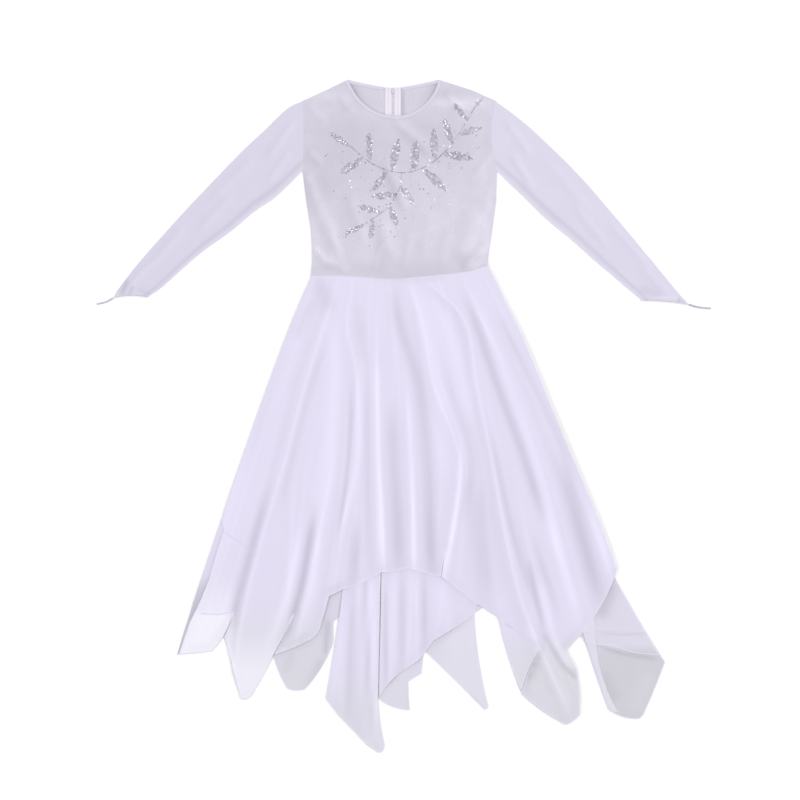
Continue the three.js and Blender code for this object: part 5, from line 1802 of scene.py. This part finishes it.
class DRESS_OT_skirt(bpy.types.Operator):
    """Lays the four layers of the skirt on each other, from the back up"""

    bl_idname = "dress.skirt"
    bl_label = "Skirt"

    def execute(self, context):
        thick = context.scene.dress_cloth.chiffon
        below = layer_grid(COVERED_TO, COVERED_BACK_ROW, BACK_ROW)
        fine = fold_grid(np.arange(SKIRT_TOP, SKIRT_END, -FRONT_ROW))
        covered = np.arange(SKIRT_TOP, COVERED_TO, -COVERED_FRONT_ROW)
        beneath = fold_grid(np.concatenate([covered, np.arange(COVERED_TO, SKIRT_END, -FRONT_ROW)]))
        inside, front = ("inside", "skirt_chiffon_inside"), ("chiffon", "skirt_chiffon")
        layers = (
            ("skirt_back_outer", below, inside, back_tone, back_thin, "floor"),
            ("skirt_back_under", below, inside, back_tone, back_thin, "skirt_back_outer_cloth"),
            ("skirt_front_under", beneath, front, under_tone, under_thin, "skirt_back_under_cloth"),
            ("skirt_front_outer", fine, front, front_tone, front_thin, "skirt_front_under_cloth"),
        )
        for node, grid, (look, slot), tone, thin, on in layers:
            hem, height = HEMS[node]
            piece, flat, area = cloth(
                f"{node}_cloth", skirt_outline(hem), grid, height, thick, LOOKS[look], node, tone, thin
            )
        return {"FINISHED"}


# The left edge of the right point, folded over onto it: its outer and its inner line from the top down
STRIP = table(
    "x y inner_x inner_y",
    (364, -716, 388, -690),
    (368, -730, 391, -716),
    (376, -755, 393, -742),
    (388, -792, 399, -786),
    (402, -834, 412, -829),
    (412, -864, 425, -860),
    (420, -879, 436, -880),
)


def strip_surface(rows, lift):
    """The strip from its outer line to its inner one: z = the level of the cloth beneath, plus lift times
    sin(pi t) to the 0.6."""
    levels = np.arange(len(rows["x"]), dtype=float)
    s = np.linspace(0, levels[-1], 90)
    t = (1 - np.cos(np.linspace(0, np.pi, 18))) / 2
    outer = np.stack([through(levels, rows[k], s) for k in ("x", "y")], axis=-1)[:, None]
    inner = np.stack([through(levels, rows[k], s) for k in ("inner_x", "inner_y")], axis=-1)[:, None]
    flat = outer + (inner - outer) * t[None, :, None]
    x, y = flat[..., 0].ravel(), flat[..., 1].ravel()
    under = (back_level(x, y) + 0.42).reshape(flat.shape[:2])
    arch = np.sin(np.pi * t[None]) ** 0.6 * smoothstep(s, 0, 0.6)[:, None] * (1 - smoothstep(s, 5, 6))[
        :, None
    ]
    return np.concatenate([flat, (under + lift * arch)[..., None]], axis=-1)


class DRESS_OT_hems(bpy.types.Operator):
    """Rolls a narrow hem along each layer, marks the hems that show through, and folds over one edge"""

    bl_idname = "dress.hems"
    bl_label = "Rolled hems"

    def execute(self, context):
        half = context.scene.dress_cloth.hem / 2
        for node, (hem, height) in HEMS.items():
            edge = bowed_run(hem, 2.6)
            line = run_on(edge, height)
            line[:, :2] -= sideways(line) * half * 0.7
            run_piece(f"{node}_hem", carried(line, oval(half, 0.42)), "hem")
        seen = []
        for node, rows in SEEN_HEMS:
            line = run_on(smooth_run(rows), HEMS[node][1])
            seen.append(carried(line + [0, 0, context.scene.dress_cloth.chiffon / 2], oval(0.8, 0.28)))
        run_piece("seen_hems", joined(seen), "seam")
        middle = strip_surface(STRIP, 1.6)
        wall = np.array([0, 0, context.scene.dress_cloth.chiffon / 2])
        points, faces = shell(middle + wall, middle - wall, False)
        # The strip is painted a little lighter, as painted light on its raised fold
        tone = np.full(len(points), 0.25)
        single = np.tile(smoothstep(-middle[..., 1].ravel(), 730, 860), 2)
        new_piece(
            "right_point_strip", points, faces, LOOKS["inside"], tone=tone,
            thin=single
        )
        return {"FINISHED"}


class DRESS_OT_seams(bpy.types.Operator):
    """Sews the waist, the armholes, the sides and the shoulders"""

    bl_idname = "dress.seams"
    bl_label = "Seams"

    def execute(self, context):
        waist = smooth_run(WAIST, 2.5)
        height = np.maximum(
            bodice_middle(waist[:, 0], waist[:, 1]), front_outer_height(waist[:, 0], waist[:, 1])
        )
        parts = [carried(np.column_stack([waist, height]), oval(1.0, 0.45))]
        for side in ("left", "right"):
            head = armhole(side, 0.15)
            s = np.zeros(len(head))
            t = np.linspace(1, 0, len(head))
            z = sleeve_height(SLEEVES[side], s, t) + HALF_WALL
            z = np.maximum(z, bodice_middle(head[:, 0], head[:, 1]))
            parts.append(carried(np.column_stack([head, z]), oval(0.8, 0.4)))
        run_piece("body_seams", joined(parts), "seam")
        edges = []
        for side, inwards in (("left", 0.8), ("right", -0.8)):
            rows = np.stack([BODICE_EDGES[side], BODICE_EDGES["y"]], axis=-1)[1:]
            for keep in (rows[:, 1] <= UNDERARM, rows[:, 1] >= SHOULDER):
                line = spaced(rows[keep], 2.5) + [inwards, 0]
                lift = (bodice_middle(line[:, 0], line[:, 1]) + HALF_WALL) / 2
                edges.append(carried(np.column_stack([line, lift]), oval(0.8, 1.0)))
        run_piece("side_seams", joined(edges), "seam")
        return {"FINISHED"}


# Stones
# Leaves of the spray: where each starts, the way it points in degrees, its length and its width
STEM = table("x y", (-98, 250), (-52, 214), (4, 198), (58, 214), (102, 254), (132, 300), (150, 330))
SPRIG = table("x y", (4, 198), (-4, 160), (-30, 124), (-70, 96))
LEAVES = table(
    "x y turn length width",
    (-98, 250, 146, 52, 13),
    (-74, 228, 214, 60, 16),
    (-60, 222, 92, 58, 15),
    (-26, 204, 236, 54, 14),
    (-16, 202, 78, 66, 17),
    (28, 201, 86, 64, 18),
    (44, 206, 318, 66, 17),
    (70, 224, 92, 64, 17),
    (84, 236, 350, 62, 17),
    (104, 258, 108, 52, 15),
    (116, 274, 16, 50, 14),
    (134, 304, 128, 42, 12),
    (150, 330, 50, 24, 9),
    (-2, 176, 304, 54, 14),
    (-6, 156, 186, 54, 14),
    (-22, 134, 290, 50, 13),
    (-38, 118, 162, 50, 13),
    (-54, 106, 262, 42, 12),
    (-70, 96, 206, 50, 12),
)
STONE_PITCH = 3.1
LOOSE_STONES = 110
STONE_SEED = 11
STONES_APART = 2.15
STONE_TILT = 0.2
LOOSE_CLEAR = 4.5
NECK_CLEAR = 14


def stone_shape(width):
    """A cut stone: a six-sided table over six slanting facets and a low girdle."""
    angle = np.linspace(0, 2 * np.pi, 6, endpoint=False)
    rings = [(0.5, 0.0), (0.5, 0.14), (0.27, 0.4)]
    points = np.concatenate(
        [np.column_stack([r * np.cos(angle), r * np.sin(angle), np.full(6, z)]) for r, z in rings]
    )
    index = np.arange(18).reshape(3, 6)
    return points * width, ring_faces(index)


def leaf_stones(x, y, turn, length, width):
    """Places in one leaf: every other row of a slanted grid, kept where it is nearer the midrib than half the
    width times sin(pi a) to the 0.7, with a the share of the leaf's length."""
    a, b = np.meshgrid(np.arange(2, length, STONE_PITCH * 0.87), np.arange(-6, 7) * STONE_PITCH * 0.5)
    b = b[:, : a.shape[1]] + (np.arange(a.shape[1]) % 2) * STONE_PITCH * 0.5
    reach = width / 2 * np.sin(np.pi * np.clip(a / length, 0, 1)) ** 0.7
    keep = (np.abs(b) <= reach) & ((np.arange(b.shape[0])[:, None] % 2) == 0)
    a, b = a[keep], b[keep] + 0.9 * np.sin(np.pi * a[keep] / length)
    way = math.radians(turn)
    return np.column_stack(
        [x + a * math.cos(way) - b * math.sin(way), y + a * math.sin(way) + b * math.cos(way)]
    )


class DRESS_OT_stones(bpy.types.Operator):
    """Sets a spray of leaves in foiled stones on the chest"""

    bl_idname = "dress.stones"
    bl_label = "Stones"

    def execute(self, context):
        width = context.scene.dress_cloth.stone
        draw = np.random.default_rng(STONE_SEED)
        stems = [smooth_run(STEM, STONE_PITCH), smooth_run(SPRIG, STONE_PITCH)]
        leaves = [leaf_stones(*row) for row in zip(*LEAVES.values(), strict=True)]
        set_stones = np.concatenate([*stems, *leaves])
        anchor = set_stones[draw.integers(0, len(set_stones), LOOSE_STONES)]
        drift = draw.normal(0, 1, (LOOSE_STONES, 2)) * [26, 20] + [-6, -26]
        loose = anchor + drift
        loose = loose[clear_of(set_stones, loose, LOOSE_CLEAR)]
        loose = loose[
            (loose[:, 1] > 40) & (np.abs(loose[:, 0]) < 165) & (distance_to(NECK_LINE, *loose.T) > NECK_CLEAR)
        ]
        loose = loose[loose[:, 1] < np.interp(loose[:, 0], NECK_LINE[:, 0], NECK_LINE[:, 1])]
        spots = np.concatenate([set_stones, loose])
        apart = np.ones(len(spots), bool)
        gaps = np.linalg.norm(spots[:, None] - spots[None], axis=-1)
        gaps[np.tril_indices(len(spots))] = 1e9
        apart[gaps.min(axis=0) < STONES_APART] = False
        spots = spots[apart]
        z = bodice_middle(spots[:, 0], spots[:, 1]) + context.scene.dress_cloth.knit / 2 - 0.05
        step = 1.5
        ahead = [bodice_middle(*(spots + way).T) for way in ([step, 0], [0, step])]
        behind = [bodice_middle(*(spots - way).T) for way in ([step, 0], [0, step])]
        slope_x, slope_y = (np.array(ahead) - np.array(behind)) / (2 * step)
        tilts = np.column_stack([slope_x, slope_y]) + draw.normal(0, STONE_TILT, (len(spots), 2))
        shape, faces = stone_shape(width)
        sizes = draw.uniform(0.86, 1.08, len(spots))
        points, all_faces = repeated(
            shape, faces, np.column_stack([spots, z]), draw.uniform(0, 2 * np.pi, len(spots)), sizes, tilts
        )
        # Each stone's colour is painted a random brightness, standing for the glint or the dark reflection of
        # its foil
        tone = np.repeat(draw.uniform(-1, 1, len(spots)), len(shape))
        piece = new_piece("chest_stones", points, all_faces, LOOKS["stones"], tone=tone)
        piece.data.shade_flat()
        return {"FINISHED"}


# Stage
VIEW_CENTRE = (-0.0076, 0.0325)
VIEW_WIDTH = 1.6
CAMERA_HEIGHT = 5.0
SENSOR_WIDTH = 36.0
LENS = SENSOR_WIDTH * CAMERA_HEIGHT / VIEW_WIDTH


# Lights: name, place and size in metres, and power in watts. All point at the dress.
LIGHTS = (
    ("key_softbox", (5.5, 5.5, 9.0), 5.5, 440.0),
    ("fill_softbox", (-6.0, -2.0, 6.0), 4.0, 156.0),
    ("top_softbox", (0.5, 1.2, 9.0), 3.0, 194.0),
)
WORLD_LIGHT = 0.5
FLOOR_HALF = 12.0


def area_light(name, place_m, size_m, watts):
    """A square light that points at the dress."""
    light = bpy.data.lights.new(name, "AREA")
    light.energy = watts
    light.size = size_m
    lamp = bpy.data.objects.new(name, light)
    lamp.location = place_m
    lamp.rotation_euler = (-Vector(place_m)).to_track_quat("-Z", "Y").to_euler()
    bpy.context.scene.collection.objects.link(lamp)


class DRESS_OT_stage(bpy.types.Operator):
    """Sets the floor, the soft studio light and the camera straight above"""

    bl_idname = "dress.stage"
    bl_label = "Stage"

    def execute(self, context):
        scene = context.scene
        mesh = bpy.data.meshes.new("floor")
        corners = [(x * FLOOR_HALF, y * FLOOR_HALF, 0) for x, y in ((-1, -1), (1, -1), (1, 1), (-1, 1))]
        mesh.from_pydata(corners, [], [(0, 1, 2, 3)])
        look = bpy.data.materials.new("floor_paper")
        look.use_nodes = True
        shader = look.node_tree.nodes["Principled BSDF"]
        shader.inputs["Base Color"].default_value = (*scene.dress_colours.floor, 1.0)
        shader.inputs["Roughness"].default_value = 0.9
        mesh.materials.append(look)
        floor = bpy.data.objects.new("floor", mesh)
        scene.collection.objects.link(floor)
        for light in LIGHTS:
            area_light(*light)
        world = bpy.data.worlds.new("studio")
        world.use_nodes = True
        world.node_tree.nodes["Background"].inputs["Color"].default_value = (1.0, 1.0, 1.0, 1.0)
        world.node_tree.nodes["Background"].inputs["Strength"].default_value = WORLD_LIGHT
        scene.world = world
        scene.view_settings.view_transform = "Standard"
        camera_data = bpy.data.cameras.new("camera_above")
        camera_data.sensor_width = SENSOR_WIDTH
        camera_data.lens = LENS
        camera_data.clip_end = 60.0
        camera = bpy.data.objects.new("camera_above", camera_data)
        camera.location = (*VIEW_CENTRE, CAMERA_HEIGHT)
        scene.collection.objects.link(camera)
        scene.camera = camera
        return {"FINISHED"}


OPERATORS = (
    DRESS_OT_bodice,
    DRESS_OT_neck,
    DRESS_OT_zip,
    DRESS_OT_sleeves,
    DRESS_OT_skirt,
    DRESS_OT_hems,
    DRESS_OT_seams,
    DRESS_OT_stones,
    DRESS_OT_stage,
)


class DRESS_PT_panel(bpy.types.Panel):
    """Lists the steps that make the dress"""

    bl_label = "Dance Dress"
    bl_idname = "DRESS_PT_panel"
    bl_space_type = "VIEW_3D"
    bl_region_type = "UI"
    bl_category = "Dress"

    def draw(self, context):
        for group in (context.scene.dress_cloth, context.scene.dress_colours):
            for name in group.__annotations__:
                self.layout.prop(group, name)
        for step in OPERATORS:
            self.layout.operator(step.bl_idname)


CLASSES = (DressCloth, DressColours, *OPERATORS, DRESS_PT_panel)


def register():
    for item in CLASSES:
        bpy.utils.register_class(item)
    bpy.types.Scene.dress_cloth = PointerProperty(type=DressCloth)
    bpy.types.Scene.dress_colours = PointerProperty(type=DressColours)


def unregister():
    del bpy.types.Scene.dress_cloth
    del bpy.types.Scene.dress_colours
    for item in reversed(CLASSES):
        bpy.utils.unregister_class(item)


def main():
    register()
    make_looks(bpy.context.scene.dress_colours)
    for step in OPERATORS:
        getattr(bpy.ops.dress, step.bl_idname.removeprefix("dress."))()


if __name__ == "__main__":
    main()
